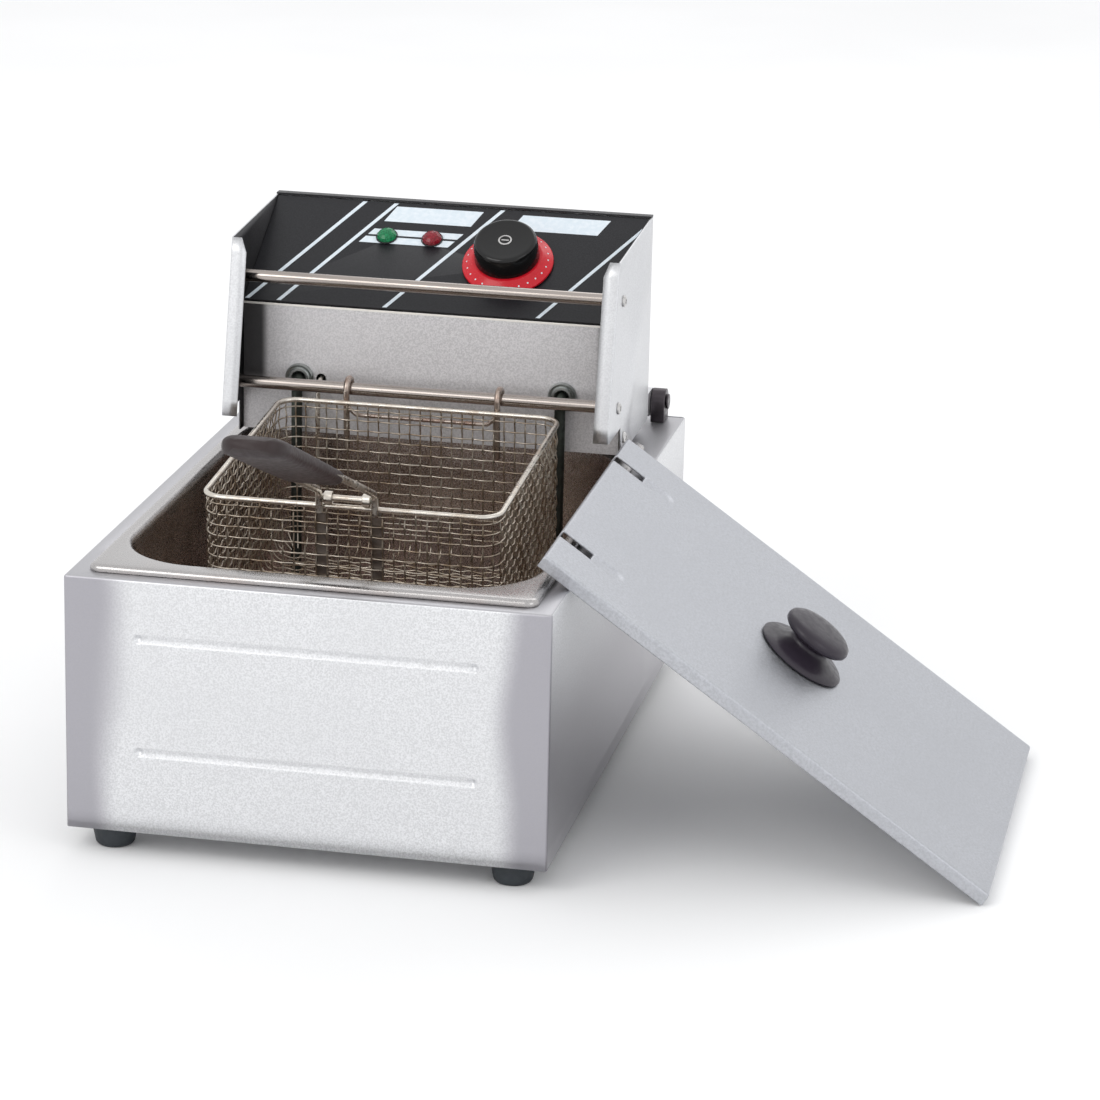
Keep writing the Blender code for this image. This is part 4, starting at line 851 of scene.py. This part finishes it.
def wing_mesh(s):
    """Side plate with its front edge folded inwards; the fold's upper inner corner is round."""
    r, back, nip, nip_depth = 0.0012, HEAD_REAR - SHEET - 0.0003, 0.004, 0.0035
    tall = WING_TOP_Z - WING_LOW_Z
    x = s * (HEAD_W / 2)
    bm = bmesh.new()
    columns = []
    for z in [WING_LOW_Z + tall * k / 12 for k in range(13)]:
        y = WING_LOW_Y + (z - WING_LOW_Z) * WING_LEAN
        row = [(x, y + r, z)]
        for k in range(1, 5):
            a = radians(90 * k / 4)
            row.append((x - s * r * (1 - cos(a)), y + r - r * sin(a), z))
        down = WING_TOP_Z - z
        wide = WING_LIP
        if down <= nip:
            wide -= nip_depth * (1 - sqrt(max(0.0, 1 - ((nip - down) / nip) ** 2)))
        row += [(x - s * wide * 0.5, y, z), (x - s * wide, y, z)]
        columns.append([bm.verts.new(p) for p in row])
    for low, high in zip(columns, columns[1:]):
        for k in range(len(low) - 1):
            bm.faces.new((low[k], low[k + 1], high[k + 1], high[k]))
    upper = [(back, HEAD_Z), (back, FASCIA_TOP_Z), (FASCIA_TOP_Y, FASCIA_TOP_Z)]
    lower = [(WING_STEP_Y, WING_LOW_Z), (WING_STEP_Y, HEAD_Z)]
    above, below = [[bm.verts.new((x, y, z)) for y, z in side] for side in (upper, lower)]
    bm.faces.new(above + [c[0] for c in reversed(columns)] + below)
    bmesh.ops.recalc_face_normals(bm, faces=bm.faces)
    plate = max(bm.faces, key=lambda f: f.calc_area())
    if plate.normal.x * s < 0:
        bmesh.ops.reverse_faces(bm, faces=bm.faces)
    bmesh.ops.triangulate(bm, faces=[plate])
    return as_mesh(bm, fix=False)


def cross_head(radius, height):
    """A pan head with a cross recess."""
    outline = softened([(radius * 0.98, -0.0002), (radius, 0.0), (radius * 0.96, height * 0.55),
                        (radius * 0.7, height * 0.95), (0, height)], 0.0002, 2)
    head = turned([(0, -0.0002)] + outline, (0, 0, 0), sides=24)
    length, width, deep = radius * 1.15, radius * 0.22, height * 0.55
    bars = [slab(rectangle(*size), height - deep, deep * 2)
            for size in ((length, width), (width, length))]
    return carved(head, joined(*bars))


def carved(mesh, cutter):
    """A mesh with another cut out of it, as a plain mesh."""
    a, b = bpy.data.objects.new("a", mesh), bpy.data.objects.new("b", cutter)
    for obj in (a, b):
        bpy.context.scene.collection.objects.link(obj)
    mod = a.modifiers.new("cut", "BOOLEAN")
    mod.object, mod.solver, mod.use_self = b, "EXACT", True
    bpy.context.view_layer.update()
    graph = bpy.context.evaluated_depsgraph_get()
    result = bpy.data.meshes.new_from_object(a.evaluated_get(graph), depsgraph=graph)
    for obj in (a, b):
        bpy.data.objects.remove(obj)
    return shade(result)


def make_head():
    for side, s in (("left", -1), ("right", 1)):
        walled(piece(f"wing_{side}", placed(wing_mesh(s)), wing_steel, "head",
                     [f"head_side_{side}"], "satin_steel"))
        eased_piece(f"hinge_arm_{side}", sheet_steel, "head", "satin_steel", 0.0005)
    eased_piece("head_front_panel", head_steel, "head", "satin_steel", 0.0003)
    eased_piece("control_panel", panel_black, "head", "black_panel", 0.0003)
    eased_piece("head_rear_cover", cover_steel, "head", "satin_steel", 0.0005)
    eased_piece("head_floor", sheet_steel, "head", "satin_steel", 0.0002, 1)
    make_prints()
    length, edge = HEAD_W - 2 * SHEET - 0.0006, 0.0005
    for name, (y, z) in (("upper_rod", UPPER_ROD), ("lower_rod", LOWER_ROD)):
        profile = [(0, 0), (ROD_R - edge, 0), (ROD_R, edge), (ROD_R, length - edge),
                   (ROD_R - edge, length), (0, length)]
        bar = turned(profile, ORIGIN + Vector((-length / 2, y, z)), (1, 0, 0), 48)
        piece(name + "_bar", bar, rod_steel, "head", [name], "bright_steel")
    places, aims = [], []
    for s in (-1, 1):
        for y, z in (UPPER_ROD, LOWER_ROD, (0.315, 0.188)):
            places.append(ORIGIN + Vector((s * (HEAD_W / 2 + 0.0003), y, z)))
            aims.append((s, 0, 0))
    set_out("side_screws", cross_head(0.0038, 0.0017), places, aims, screw_steel, "head",
            [f"{rod}_screw_{side}" for rod in ("upper_rod", "lower_rod")
             for side in ("left", "right")], "bright_steel", spin=0.5)
    rear = here([(x, HEAD_REAR, z) for x in (-0.115, 0.115) for z in (0.190, 0.300)])
    set_out("cover_screws", cross_head(0.0034, 0.0015), rear, [(0, 1, 0)] * 4, screw_steel,
            "head", (), "bright_steel", spin=0.3)


def element_path():
    """Down the left leg, along the tank's floor in three turns and up the right leg."""
    ahead, back, up, down = (0, -1, 0), (0, 1, 0), (0, 0, 1), (0, 0, -1)
    bend, floor_bend, inner = 0.0075, 0.016, 0.0287
    left = [Vector((-LEG_X, 0.323, GLAND_Z)), Vector((-LEG_X, LEG_Y + bend + 0.001, GLAND_Z))]
    left += arc((-LEG_X, LEG_Y + bend, GLAND_Z - bend), up, ahead, bend, 0, 90)
    left += [Vector((-LEG_X, LEG_Y, z)) for z in (0.17, 0.12)]
    left += arc((-LEG_X, LEG_Y - floor_bend, ELEMENT_Z + floor_bend), back, down, floor_bend, 0, 90)
    left += [Vector((-LEG_X, y, ELEMENT_Z)) for y in (0.23, 0.17)]
    turn = (LEG_X - inner) / 2
    left += arc((-LEG_X + turn, 0.080 + turn, ELEMENT_Z), (-1, 0, 0), ahead, turn, 0, 180, 18)
    left += [Vector((-inner, 0.17, ELEMENT_Z))]
    left += arc((0, 0.262 - inner, ELEMENT_Z), (-1, 0, 0), back, inner, 0, 90, 9)
    return here(left + [Vector((-p.x, p.y, p.z)) for p in reversed(left[:-1])])


def make_element():
    piece("element_tube", tube(element_path(), ELEMENT_R, 16), element_sheath, "head",
          ["heating_element"], "element_sheath")
    for side, s in (("left", -1), ("right", 1)):
        bore = 0.0038
        profile = [(bore, -0.0070), (0.0060, -0.0070), (0.0060, 0.0), (0.0093, 0.0), (0.0093, 0.0014),
                   (0.0086, 0.0026), (0.0080, 0.0022), (0.0072, 0.0020), (0.0066, 0.0028),
                   (0.0064, 0.0030), (bore + 0.0012, 0.0030), (bore, 0.0015)]
        gland = turned(profile, ORIGIN + Vector((s * LEG_X, HEAD_FRONT - 0.0003, GLAND_Z)),
                       (0, -1, 0), 48, ring=True)
        piece(f"element_boss_{side}", gland, gland_metal, "head", [f"element_gland_{side}"],
              "gland_finish")
        eased_piece(f"element_nut_{side}", brass, "head", "brass_nut", 0.0003)
    bend, low = 0.010, ELEMENT_Z + ELEMENT_R + 0.015
    path = [(BULB_X, HEAD_FRONT + 0.030, GLAND_Z)]
    path += arc((BULB_X, LEG_Y + 0.008, GLAND_Z - 0.008), (0, 0, 1), (0, -1, 0), 0.008, 0, 90)
    path += arc((BULB_X + bend, LEG_Y, low + bend), (-1, 0, 0), (0, 0, -1), bend, 0, 90)
    path += arc((-bend, LEG_Y - bend, low), (0, 1, 0), (1, 0, 0), bend, 0, 90)
    path += [(0, y, low) for y in (0.230, 0.2285, 0.2265, 0.1490, 0.1470)]
    capillary_r, bulb_r, tip_r = 0.0015, 0.0027, 0.0014
    radii = [capillary_r] * (len(path) - 4) + [bulb_r] * 3 + [tip_r]
    piece("thermostat_bulb_finished", tube(here(path), radii, 14), nickel_wire, "head",
          ["thermostat_bulb"], "bright_steel")
    eased_piece("bulb_guard", screw_steel, "head", "bright_steel", 0.0004)


def make_dial():
    base = on_fascia(DIAL_X, DIAL_UP, DIAL_LIFT)
    bore = 0.0033
    skirt = softened([(bore, 0), (0.0292, 0), (0.0295, 0.0004), (0.0293, 0.0014), (0.0280, 0.0022),
                      (0.0245, 0.0045), (0.0225, 0.0060), (bore, 0.0060)], 0.0006)
    piece("dial_skirt", turned(skirt, base, FASCIA_OUT, 96, 40, ring=True), gloss_red, "dial",
          ["dial_ring"], "red_plastic")
    low = base + FASCIA_OUT * 0.0063
    knob = [(0, 0.010), (bore, 0.010), (bore, 0), (0.0209, 0), (0.0210, 0.0006), (0.0207, 0.0080),
            (0.0203, 0.0122), (0.0196, 0.0138), (0.0182, 0.0147), (0.0150, 0.0144),
            (0.0080, 0.0141), (0, 0.0140)]
    mesh = turned(softened(knob, 0.0006), low, FASCIA_OUT, 96, 40)
    piece("dial_cap", mesh, gloss_black, "dial", ["control_knob"], "gloss_black")
    profile = [(0.0034, 0.0139), (0.0044, 0.0139), (0.0044, 0.0145), (0.0034, 0.0145)]
    ring = turned(softened(profile, 0.0001, 1), low, FASCIA_OUT, 48, 40, ring=True)
    place = frame_to(low, FASCIA_OUT)
    pin = slab(rectangle(0.0048, 0.0009), 0.0139, 0.0004,
               lambda a, b, h: place @ Vector((a, b, h)))
    piece("dial_emblem", joined(ring, pin), screw_steel, "dial", (), "bright_steel")
    ticks, aims = [], []
    turn = frame_to(base, FASCIA_OUT).to_3x3()
    for k in range(21):
        a = radians(-225 + 13.5 * k)
        out = Vector((cos(a), sin(a), 0))
        ticks.append(base + turn @ (out * 0.0262 + Vector((0, 0, 0.00335))))
        aims.append(turn @ Vector((out.x * 0.55, out.y * 0.55, 0.83)).normalized())
    dot = turned([(0, -0.0003), (0.00062, -0.0003), (0.00058, 0.0001), (0, 0.00016)], (0, 0, 0),
                 sides=10)
    set_out("dial_marks", dot, ticks, aims, panel_print, "dial", (), "red_plastic")


def make_lamps():
    for name, s, finish, slot in (("power", -1, green_lens, "green_lens"),
                                  ("heat", 1, red_lens, "red_lens")):
        x = LAMP_X + s * LAMP_PITCH / 2
        seat = on_fascia(x, LAMP_UP, 0.0003)
        lens = [(0, 0), (0.0064, 0), (0.0064, 0.0012), (0.0056, 0.0027), (0.0036, 0.0040),
                (0.0014, 0.0045), (0, 0.0045)]
        piece(f"{name}_lens", turned(lens, seat, FASCIA_OUT, 12, 8), finish, "head",
              [f"{name}_lamp_lens"], slot)
        bezel = softened([(0.0066, 0), (0.0071, 0), (0.0071, 0.0005), (0.0069, 0.0008),
                          (0.0066, 0.0008)], 0.0001, 2)
        piece(f"{name}_bezel", turned(bezel, seat, FASCIA_OUT, 40, ring=True), black_plastic,
              "head", [f"{name}_lamp_bezel"], "black_plastic")


# ================================================================ basket
BASKET_LOW = BASKET_TOP - 0.002 - BASKET_H


def hung():
    """Leans a drawing about the lower rod, as the hanging basket does."""
    about = Matrix.Translation(Vector((0, *LOWER_ROD)))
    lean = about @ Matrix.Rotation(BASKET_TILT, 4, "X") @ about.inverted()
    return Matrix.Translation(ORIGIN) @ lean


def hang(points):
    lean = hung()
    return [lean @ Vector(p) for p in points]


def resampled(path, step):
    """A path with even steps between its places."""
    path = [Vector(p) for p in path]
    lengths = np.cumsum([0] + [(b - a).length for a, b in zip(path, path[1:])])
    count = max(2, round(lengths[-1] / step) + 1)
    out, k = [], 0
    for at in np.linspace(0, lengths[-1], count):
        while k < len(path) - 2 and lengths[k + 1] < at:
            k += 1
        t = (at - lengths[k]) / max(lengths[k + 1] - lengths[k], 1e-9)
        out.append(path[k].lerp(path[k + 1], min(max(t, 0), 1)))
    return out


def weave_mesh():
    """Every wire of the basket as a line, with the way and share of its crimp at each point."""
    pitch, inset, fold = 0.0068, RIM_WIRE_R, 0.009
    half, front, rear = BASKET_W / 2 - inset, BASKET_FRONT + inset, BASKET_REAR - inset
    top = BASKET_TOP - RIM_WIRE_R * 0.6
    low = BASKET_LOW + 0.0025
    corner = BASKET_CORNER - inset
    verts, edges, waves = [], [], []

    def add(path, wave):
        start = len(verts)
        for place in path:
            verts.append(place)
            waves.append(wave(place))
        edges.extend((start + k, start + k + 1) for k in range(len(path) - 1))

    def uprights(a0, a1, span, swap):
        """Wires that run down one wall, under the floor and up the other."""
        count = int((span - corner) / pitch)
        for i in range(-count, count + 1):
            down, back = Vector((0, 0, -1)), Vector((0, 1, 0))
            path = [Vector((0, a0, top)), Vector((0, a0, low + fold))]
            path += arc((0, a0 + fold, low + fold), -back, down, fold, 0, 90, 6)
            path += arc((0, a1 - fold, low + fold), down, back, fold, 0, 90, 6)
            path.append(Vector((0, a1, top)))
            path = resampled(path, pitch / 4)
            flip = pi if i % 2 else 0

            def wave(place, flip=flip):
                along = place.x if swap else place.y
                if place.z < low + fold * 0.4:
                    return Vector((0, 0, -1)) * sin(pi * along / pitch + flip)
                sign = -1 if along < (a0 + a1) / 2 else 1
                out = Vector((sign, 0, 0)) if swap else Vector((0, sign, 0))
                return out * sin(pi * (top - place.z) / pitch + flip)

            if swap:
                path = [Vector((p.y, i * pitch + (front + rear) / 2, p.z + 0.0009)) for p in path]
            else:
                path = [Vector((i * pitch, p.y, p.z)) for p in path]
            add(path, wave)

    uprights(front, rear, half, False)
    uprights(-half, half, (rear - front) / 2, True)
    for sx in (-1, 1):
        for sy in (-1, 1):
            cx, cy = sx * (half - corner), (front + corner if sy < 0 else rear - corner)
            for a in (15, 45, 75):
                out = Vector((sx * cos(radians(a)), sy * sin(radians(a)), 0))
                path = [Vector((cx, cy, z)) + out * corner for z in (top, low + fold)]
                path.append(Vector((cx, cy, low + 0.001)) + out * (corner - fold * 0.8))
                flip = 0 if a == 45 else pi
                add(resampled(path, pitch / 4),
                    lambda p, out=out, flip=flip: out * sin(pi * (top - p.z) / pitch + flip))
    rings = int((top - low - 0.004) / pitch)
    for k in range(rings):
        z = top - (k + 0.5) * pitch
        loop = [Vector((x, y, z)) for x, y in rounded(-half, half, front, rear, corner, 5)]
        path = resampled(loop + loop[:1], pitch / 4)

        def wave(place, k=k):
            middle = (front + rear) / 2
            if abs(place.x) < half - corner:
                out = Vector((0, 1 if place.y < middle else -1, 0))
                return out * cos(pi * place.x / pitch + pi * k)
            if front + corner < place.y < rear - corner:
                out = Vector((1 if place.x < 0 else -1, 0, 0))
                return out * cos(pi * (place.y - middle) / pitch + pi * k)
            return Vector((0, 0, 0))

        start = len(verts)
        add(path[:-1], wave)
        edges.append((len(verts) - 1, start))
    mesh = bpy.data.meshes.new("weave")
    mesh.from_pydata([tuple(p) for p in hang(verts)], edges, [])
    attribute = mesh.attributes.new("wave", "FLOAT_VECTOR", "POINT")
    attribute.data.foreach_set("vector", np.array([tuple(w) for w in waves], np.float32).ravel())
    return mesh


def make_basket():
    wire_r = 0.00052
    weave = grown(weave_mesh(), WEAVE, Wire_radius=wire_r, Crimp=wire_r, Sides=5,
                  Finish=mesh_wire)
    piece("basket_weave", weave, mesh_wire, "basket", ["basket_shell"], "basket_wire")
    r = RIM_WIRE_R
    loop = rounded(-BASKET_W / 2 + r, BASKET_W / 2 - r, BASKET_FRONT + r, BASKET_REAR - r,
                   BASKET_CORNER - r, 10)
    rim = tube(hang([(x, y, BASKET_TOP) for x, y in loop]), r, 16, closed=True)
    piece("basket_rim_wire", rim, nickel_wire, "basket", ["basket_rim"], "basket_wire")
    y, z = LOWER_ROD
    front = y - HOOK_R
    parts = []
    for s in (-1, 1):
        path = arc((s * HOOK_X, y, z), (0, 1, 0), (0, 0, 1), HOOK_R, 0, 180, 16)
        path += [Vector((s * HOOK_X, front, z - d))
                 for d in (0.008, 0.018, HOOK_LEG - 0.0006, HOOK_LEG)]
        radii = [HOOK_WIRE_R] * (len(path) - 1) + [HOOK_WIRE_R * 0.72]
        radii[0] *= 0.72
        parts.append(tube(hang(path), radii, 16))
    brace_z = z - 0.015
    path = [(-HOOK_X, front, brace_z + 0.006), (-HOOK_X + 0.005, front, brace_z + 0.0012),
            (-HOOK_X + 0.0065, front, brace_z + 0.0002), (-HOOK_X + 0.009, front, brace_z)]
    path += [(-a, b, c) for a, b, c in reversed(path)]
    parts.append(tube(hang(path), 0.0014, 14))
    piece("basket_hooks", joined(*parts), hook_wire, "basket", ["hook_frame"], "basket_wire")
    inner = BASKET_FRONT + r + 0.0014
    for side, s in (("left", -1), ("right", 1)):
        outline = rounded(s * STRAP_X - STRAP_W / 2, s * STRAP_X + STRAP_W / 2,
                          BASKET_TOP - 0.0022 - STRAP_LEN, BASKET_TOP - 0.0022, 0.0012, 4)
        strap = slab(outline, inner, 0.0010, lambda a, b, h: hang([(a, h, b)])[0], 0.0003)
        piece(f"strap_{side}", strap, strap_steel, "basket", [f"front_strap_{side}"], "basket_wire")
    make_handle()


def make_handle():
    """Two eyes on the rim, a cross wire between them, two long wires and the grip."""
    bore, edge, wide = 0.0028, 0.0004, 0.005
    leg_y = BASKET_FRONT - HANDLE_WIRE_R - 0.0003
    pivot_y, eye_r = leg_y + 0.0025, HANDLE_WIRE_R + 0.0018
    pivot_z = BASKET_TOP + RIM_WIRE_R + 0.0003 + eye_r
    for side, s in (("left", -1), ("right", 1)):
        near = s * (STRAP_X - HANDLE_WIRE_R - 0.0006)
        eye = turned([(bore, edge), (bore + edge, 0), (eye_r - edge, 0), (eye_r, edge),
                      (eye_r, wide - edge), (eye_r - edge, wide), (bore + edge, wide),
                      (bore, wide - edge)],
                     (near, pivot_y, pivot_z), (-s, 0, 0), 32, ring=True)
        eye.transform(hung())
        piece(f"eye_{side}", eye, nickel_wire, "basket", [f"handle_eye_{side}"], "basket_wire")
    out, up = Vector((0, -cos(HANDLE_TILT), sin(HANDLE_TILT))), Vector((0, 0, 1))
    bend_at = Vector((0, leg_y, pivot_z)) + up * 0.005
    start = bend_at + out * HANDLE_REACH
    parts = [tube(hang([(x, pivot_y, pivot_z) for x in (-STRAP_X, 0, STRAP_X)]), 0.0021, 14)]
    for s in (-1, 1):
        x = Vector((s * STRAP_X, 0, 0))
        foot = Vector((0, leg_y, pivot_z)) - up * 0.009
        reach = 0.0055
        near, far = bend_at + (foot - bend_at).normalized() * reach, bend_at + out * reach
        path = [foot, foot + up * 0.0005]
        for k in range(9):
            t = k / 8
            path.append(near * (1 - t) ** 2 + bend_at * 2 * t * (1 - t) + far * t ** 2)
        path += [bend_at + out * d for d in (0.03, 0.06, HANDLE_REACH + 0.029)]
        radii = [HANDLE_WIRE_R * 0.75] + [HANDLE_WIRE_R] * (len(path) - 1)
        parts.append(tube(hang([p + x for p in path]), radii, 16))
    piece("handle_wires", joined(*parts), nickel_wire, "handle", ["handle_wire"], "basket_wire")
    piece("grip", grip_mesh(start, out), grip_plastic, "handle", ["handle_grip"],
          "grip_plastic")


def quarter_round(share):
    """Height of a quarter circle at a share of its width, from 0 at the edge to 1 inside."""
    return sqrt(max(0.0, 1 - (1 - share) ** 2))


def grip_mesh(start, out):
    """A flat bar with square sides, round ends and a thickness that grows outwards."""
    across = Vector((1, 0, 0))
    normal = across.cross(out).normalized()
    near, far, count, sides = 0.010, 0.020, 30, 40
    thin_near, thin_far = 0.05, 0.93
    loops = []
    for k in range(count + 1):
        t = k / count
        along = GRIP_LEN * t
        if along < near:
            wide = 0.62 + 0.33 * quarter_round(along / near)
        elif along > GRIP_LEN - far:
            wide = 0.42 + 0.55 * quarter_round(1 - (along - GRIP_LEN + far) / 0.0203)
        else:
            wide = 0.95 + 0.02 * sin(pi * t)
        past = max(thin_near - t, (t - thin_far) / 1.4) / 0.05
        end = 1.0 if thin_near < t < thin_far else 0.45 + 0.55 * quarter_round(1 - past)
        w, h = GRIP_W * wide / 2, GRIP_T * (0.80 + 0.20 * t) * end / 2
        section = []
        for n in range(sides):
            a = 2 * pi * n / sides
            c, d = cos(a), sin(a)
            section.append((w * abs(c) ** 0.42 * (1 if c >= 0 else -1),
                            h * abs(d) ** 0.75 * (1 if d >= 0 else -1)))
        loops.append(hang([start + out * along + across * a + normal * b for a, b in section]))
    return skin(loops, angle=50)


# ================================================================ lid
def lid_pose():
    """Moves a drawing of the lid to where it leans, from the table to the casing's right edge."""
    lift = 0.0006
    foot_x = BODY_W / 2 + (DECK_Z - lift) / tan(LID_LEAN) + lift
    slope = Vector((cos(LID_LEAN), 0, -sin(LID_LEAN)))
    middle = Vector((foot_x, LID_Y, lift)) - slope * (LID_L / 2) + ORIGIN
    return Matrix.Translation(middle) @ Matrix.Rotation(LID_LEAN, 4, "Y")


def folded(u, half, r):
    """Place and drop along a sheet that is folded down at both ends."""
    side = 1 if u > 0 else -1
    past = abs(u) - (half - r)
    if past <= 0:
        return u, 0.0
    a = past / r
    if a < pi / 2:
        return side * (half - r + r * sin(a)), r * (1 - cos(a))
    return side * half, r + (a - pi / 2) * r


def lid_mesh():
    """A sheet folded down on four sides, with two slots and the round dimples behind them."""
    r, edge = 0.0016, LID_EDGE
    half_l, half_w = LID_L / 2, LID_W / 2
    reach = (edge - r) + r * pi / 2 - r

    def ticks(half, marks):
        stops = sorted(set([-half - reach, -half + r, half - r, half + reach] + marks))
        out = []
        for a, b in zip(stops, stops[1:]):
            fold = b <= -half + r or a >= half - r
            wide = 0.0012 if b - a < 0.055 else 0.012
            out += spaced(a, b, 0.0006 if fold and b - a < 0.02 else wide)
        return out + [stops[-1]]

    marks_u = [-half_l + SLOT_L, -half_l + 0.050]
    marks_v = sorted(s * SLOT_Y + d for s in (-1, 1)
                     for d in (-SLOT_W / 2 - 0.002, -SLOT_W / 2, SLOT_W / 2, SLOT_W / 2 + 0.002))
    us, vs = ticks(half_l, marks_u), ticks(half_w, marks_v)

    def dimple(u, v):
        away = u - (-half_l + SLOT_L)
        across = abs(abs(v) - SLOT_Y)
        if away < -1e-9:
            return 0.0
        round_r, slope = SLOT_W / 2 + 0.0006, 0.0016
        run = 0.0225 - round_r
        past = hypot(max(away - run, 0), across)
        depth = 0.0009 * (1 - min(max((past - round_r + slope) / slope, 0), 1))
        return depth * min(1.0, 0.35 + away / 0.012)

    bm = bmesh.new()
    grid = {}
    for i, u in enumerate(us):
        for j, v in enumerate(vs):
            x, drop_u = folded(u, half_l, r)
            y, drop_v = folded(v, half_w, r)
            if drop_u > r * 0.6 and drop_v > r * 0.6:
                continue
            height = edge - drop_u - drop_v - dimple(u, v)
            grid[i, j] = bm.verts.new((x, y, max(0.0, height)))
    slot_end = -half_l + SLOT_L - 1e-6
    for i in range(len(us) - 1):
        for j in range(len(vs) - 1):
            u, v = (us[i] + us[i + 1]) / 2, (vs[j] + vs[j + 1]) / 2
            if u < slot_end and abs(abs(v) - SLOT_Y) < SLOT_W / 2:
                continue
            corners = [grid.get(k) for k in ((i, j), (i + 1, j), (i + 1, j + 1), (i, j + 1))]
            if None not in corners:
                bm.faces.new(corners)
    for vert in [v for v in bm.verts if not v.link_faces]:
        bm.verts.remove(vert)
    bmesh.ops.recalc_face_normals(bm, faces=bm.faces)
    if sum(f.normal.z * f.calc_area() for f in bm.faces) < 0:
        bmesh.ops.reverse_faces(bm, faces=bm.faces)
    return as_mesh(bm, 40, fix=False)


def make_lid():
    pose = lid_pose()
    sheet = lid_mesh()
    sheet.transform(pose)
    walled(piece("lid_sheet", sheet, lid_steel, "lid", ["lid_plate"], "satin_steel"))
    profile = [(0, 0.012), (0.0023, 0.012), (0.0023, 0), (0.0262, 0), (0.0284, 0.0006), (0.0285, 0.0014),
               (0.0272, 0.0026), (0.0225, 0.0041), (0.0170, 0.0060), (0.0137, 0.0082), (0.0126, 0.0100),
               (0.0131, 0.0120), (0.0160, 0.0135), (0.0202, 0.0146), (0.0218, 0.0160), (0.0220, 0.0178),
               (0.0213, 0.0198), (0.0192, 0.0214), (0.0150, 0.0224), (0.0090, 0.0229), (0, 0.0230)]
    knob = turned(profile, (0, 0, LID_EDGE + 0.0003), (0, 0, 1), 80, 50)
    knob.transform(pose)
    piece("lid_handle", knob, knob_plastic, "lid", ["lid_knob"], "lid_knob_plastic")


# ================================================================ plain frame nodes
def finish_nodes():
    """Inner works keep the frame's own shapes."""
    looks = {"thermostat_body": insulator, "terminal_block": insulator, "limit_thermostat": black_plastic,
             "safety_switch": black_plastic, "power_lamp_body": black_plastic,
             "heat_lamp_body": black_plastic, "cord_gland": black_plastic,
             "thermostat_shaft": brass, "reset_button": gloss_red,
             "lid_knob_screw": screw_steel}
    for name, look in looks.items():
        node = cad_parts[name]
        node.data.materials.clear()
        node.data.materials.append(look)


# ================================================================ stage
def make_stage():
    floor = Finish("floor_white", (0.90, 0.90, 0.90), 0.85)
    clouds = floor.span(floor.noise(3, 2), 0.3, 0.7)
    floor.colour(floor.mix(clouds, (0.92, 0.92, 0.92), (0.94, 0.94, 0.94)))
    bm = bmesh.new()
    bmesh.ops.create_grid(bm, x_segments=1, y_segments=1, size=14)
    ground = bpy.data.objects.new("floor", as_mesh(bm))
    ground.data.materials.append(floor.mat)
    bpy.context.scene.collection.objects.link(ground)
    ground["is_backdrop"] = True

    world = bpy.data.worlds.new("studio")
    bpy.context.scene.world = world
    world.use_nodes = True
    world.node_tree.nodes["Background"].inputs["Color"].default_value = (0.985, 0.99, 1.0, 1)
    world.node_tree.nodes["Background"].inputs["Strength"].default_value = 1.0

    def softbox(name, place, target, size, power, colour=(1, 1, 1)):
        data = bpy.data.lights.new(name, "AREA")
        data.shape, data.energy, data.color = "RECTANGLE", power, colour
        data.size, data.size_y = size
        lamp = bpy.data.objects.new(name, data)
        aim = (Vector(target) - Vector(place)).to_track_quat("-Z", "Y")
        lamp.matrix_world = Matrix.Translation(place) @ aim.to_matrix().to_4x4()
        bpy.context.scene.collection.objects.link(lamp)

    softbox("key", (-1.3, -1.9, 1.9), (0, 0, 0.1), (1.6, 1.2), 16, (1, 0.99, 0.97))
    softbox("fill", (1.9, -1.2, 1.3), (0, 0, 0.1), (1.2, 1.2), 5, (0.96, 0.98, 1))
    softbox("back", (0.2, 1.9, 1.8), (0, 0, 0.1), (1.8, 0.9), 6)
    scene = bpy.context.scene
    scene.view_settings.view_transform = "Standard"
    scene.view_settings.look = "None"


def make_camera():
    azimuth, elevation, roll, distance = radians(11.25), radians(17.19), radians(1.28), 2.31842
    target = ORIGIN + Vector((0.14199, 0, 0.20872))
    back = Vector((sin(azimuth) * cos(elevation), -cos(azimuth) * cos(elevation), sin(elevation)))
    right = (-back).cross(Vector((0, 0, 1))).normalized()
    up = right.cross(-back)
    tilted = right * cos(roll) + up * sin(roll)
    upright = -right * sin(roll) + up * cos(roll)
    data = bpy.data.cameras.new("camera")
    data.lens, data.sensor_width = 135.18, 36
    camera = bpy.data.objects.new("camera", data)
    pose = Matrix.Identity(4)
    for column, axis in enumerate((tilted, upright, back)):
        pose.col[column].xyz = axis
    pose.translation = target + back * distance
    camera.matrix_world = pose
    bpy.context.scene.collection.objects.link(camera)
    bpy.context.scene.camera = camera


make_camera()
make_stage()
make_body()
make_tank()
make_head()
make_element()
make_dial()
make_lamps()
make_basket()
make_lid()
finish_nodes()

bpy.context.view_layer.update()
as_list = [[[float(v) for v in corner] for corner in box] for box in (cad_box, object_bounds())]
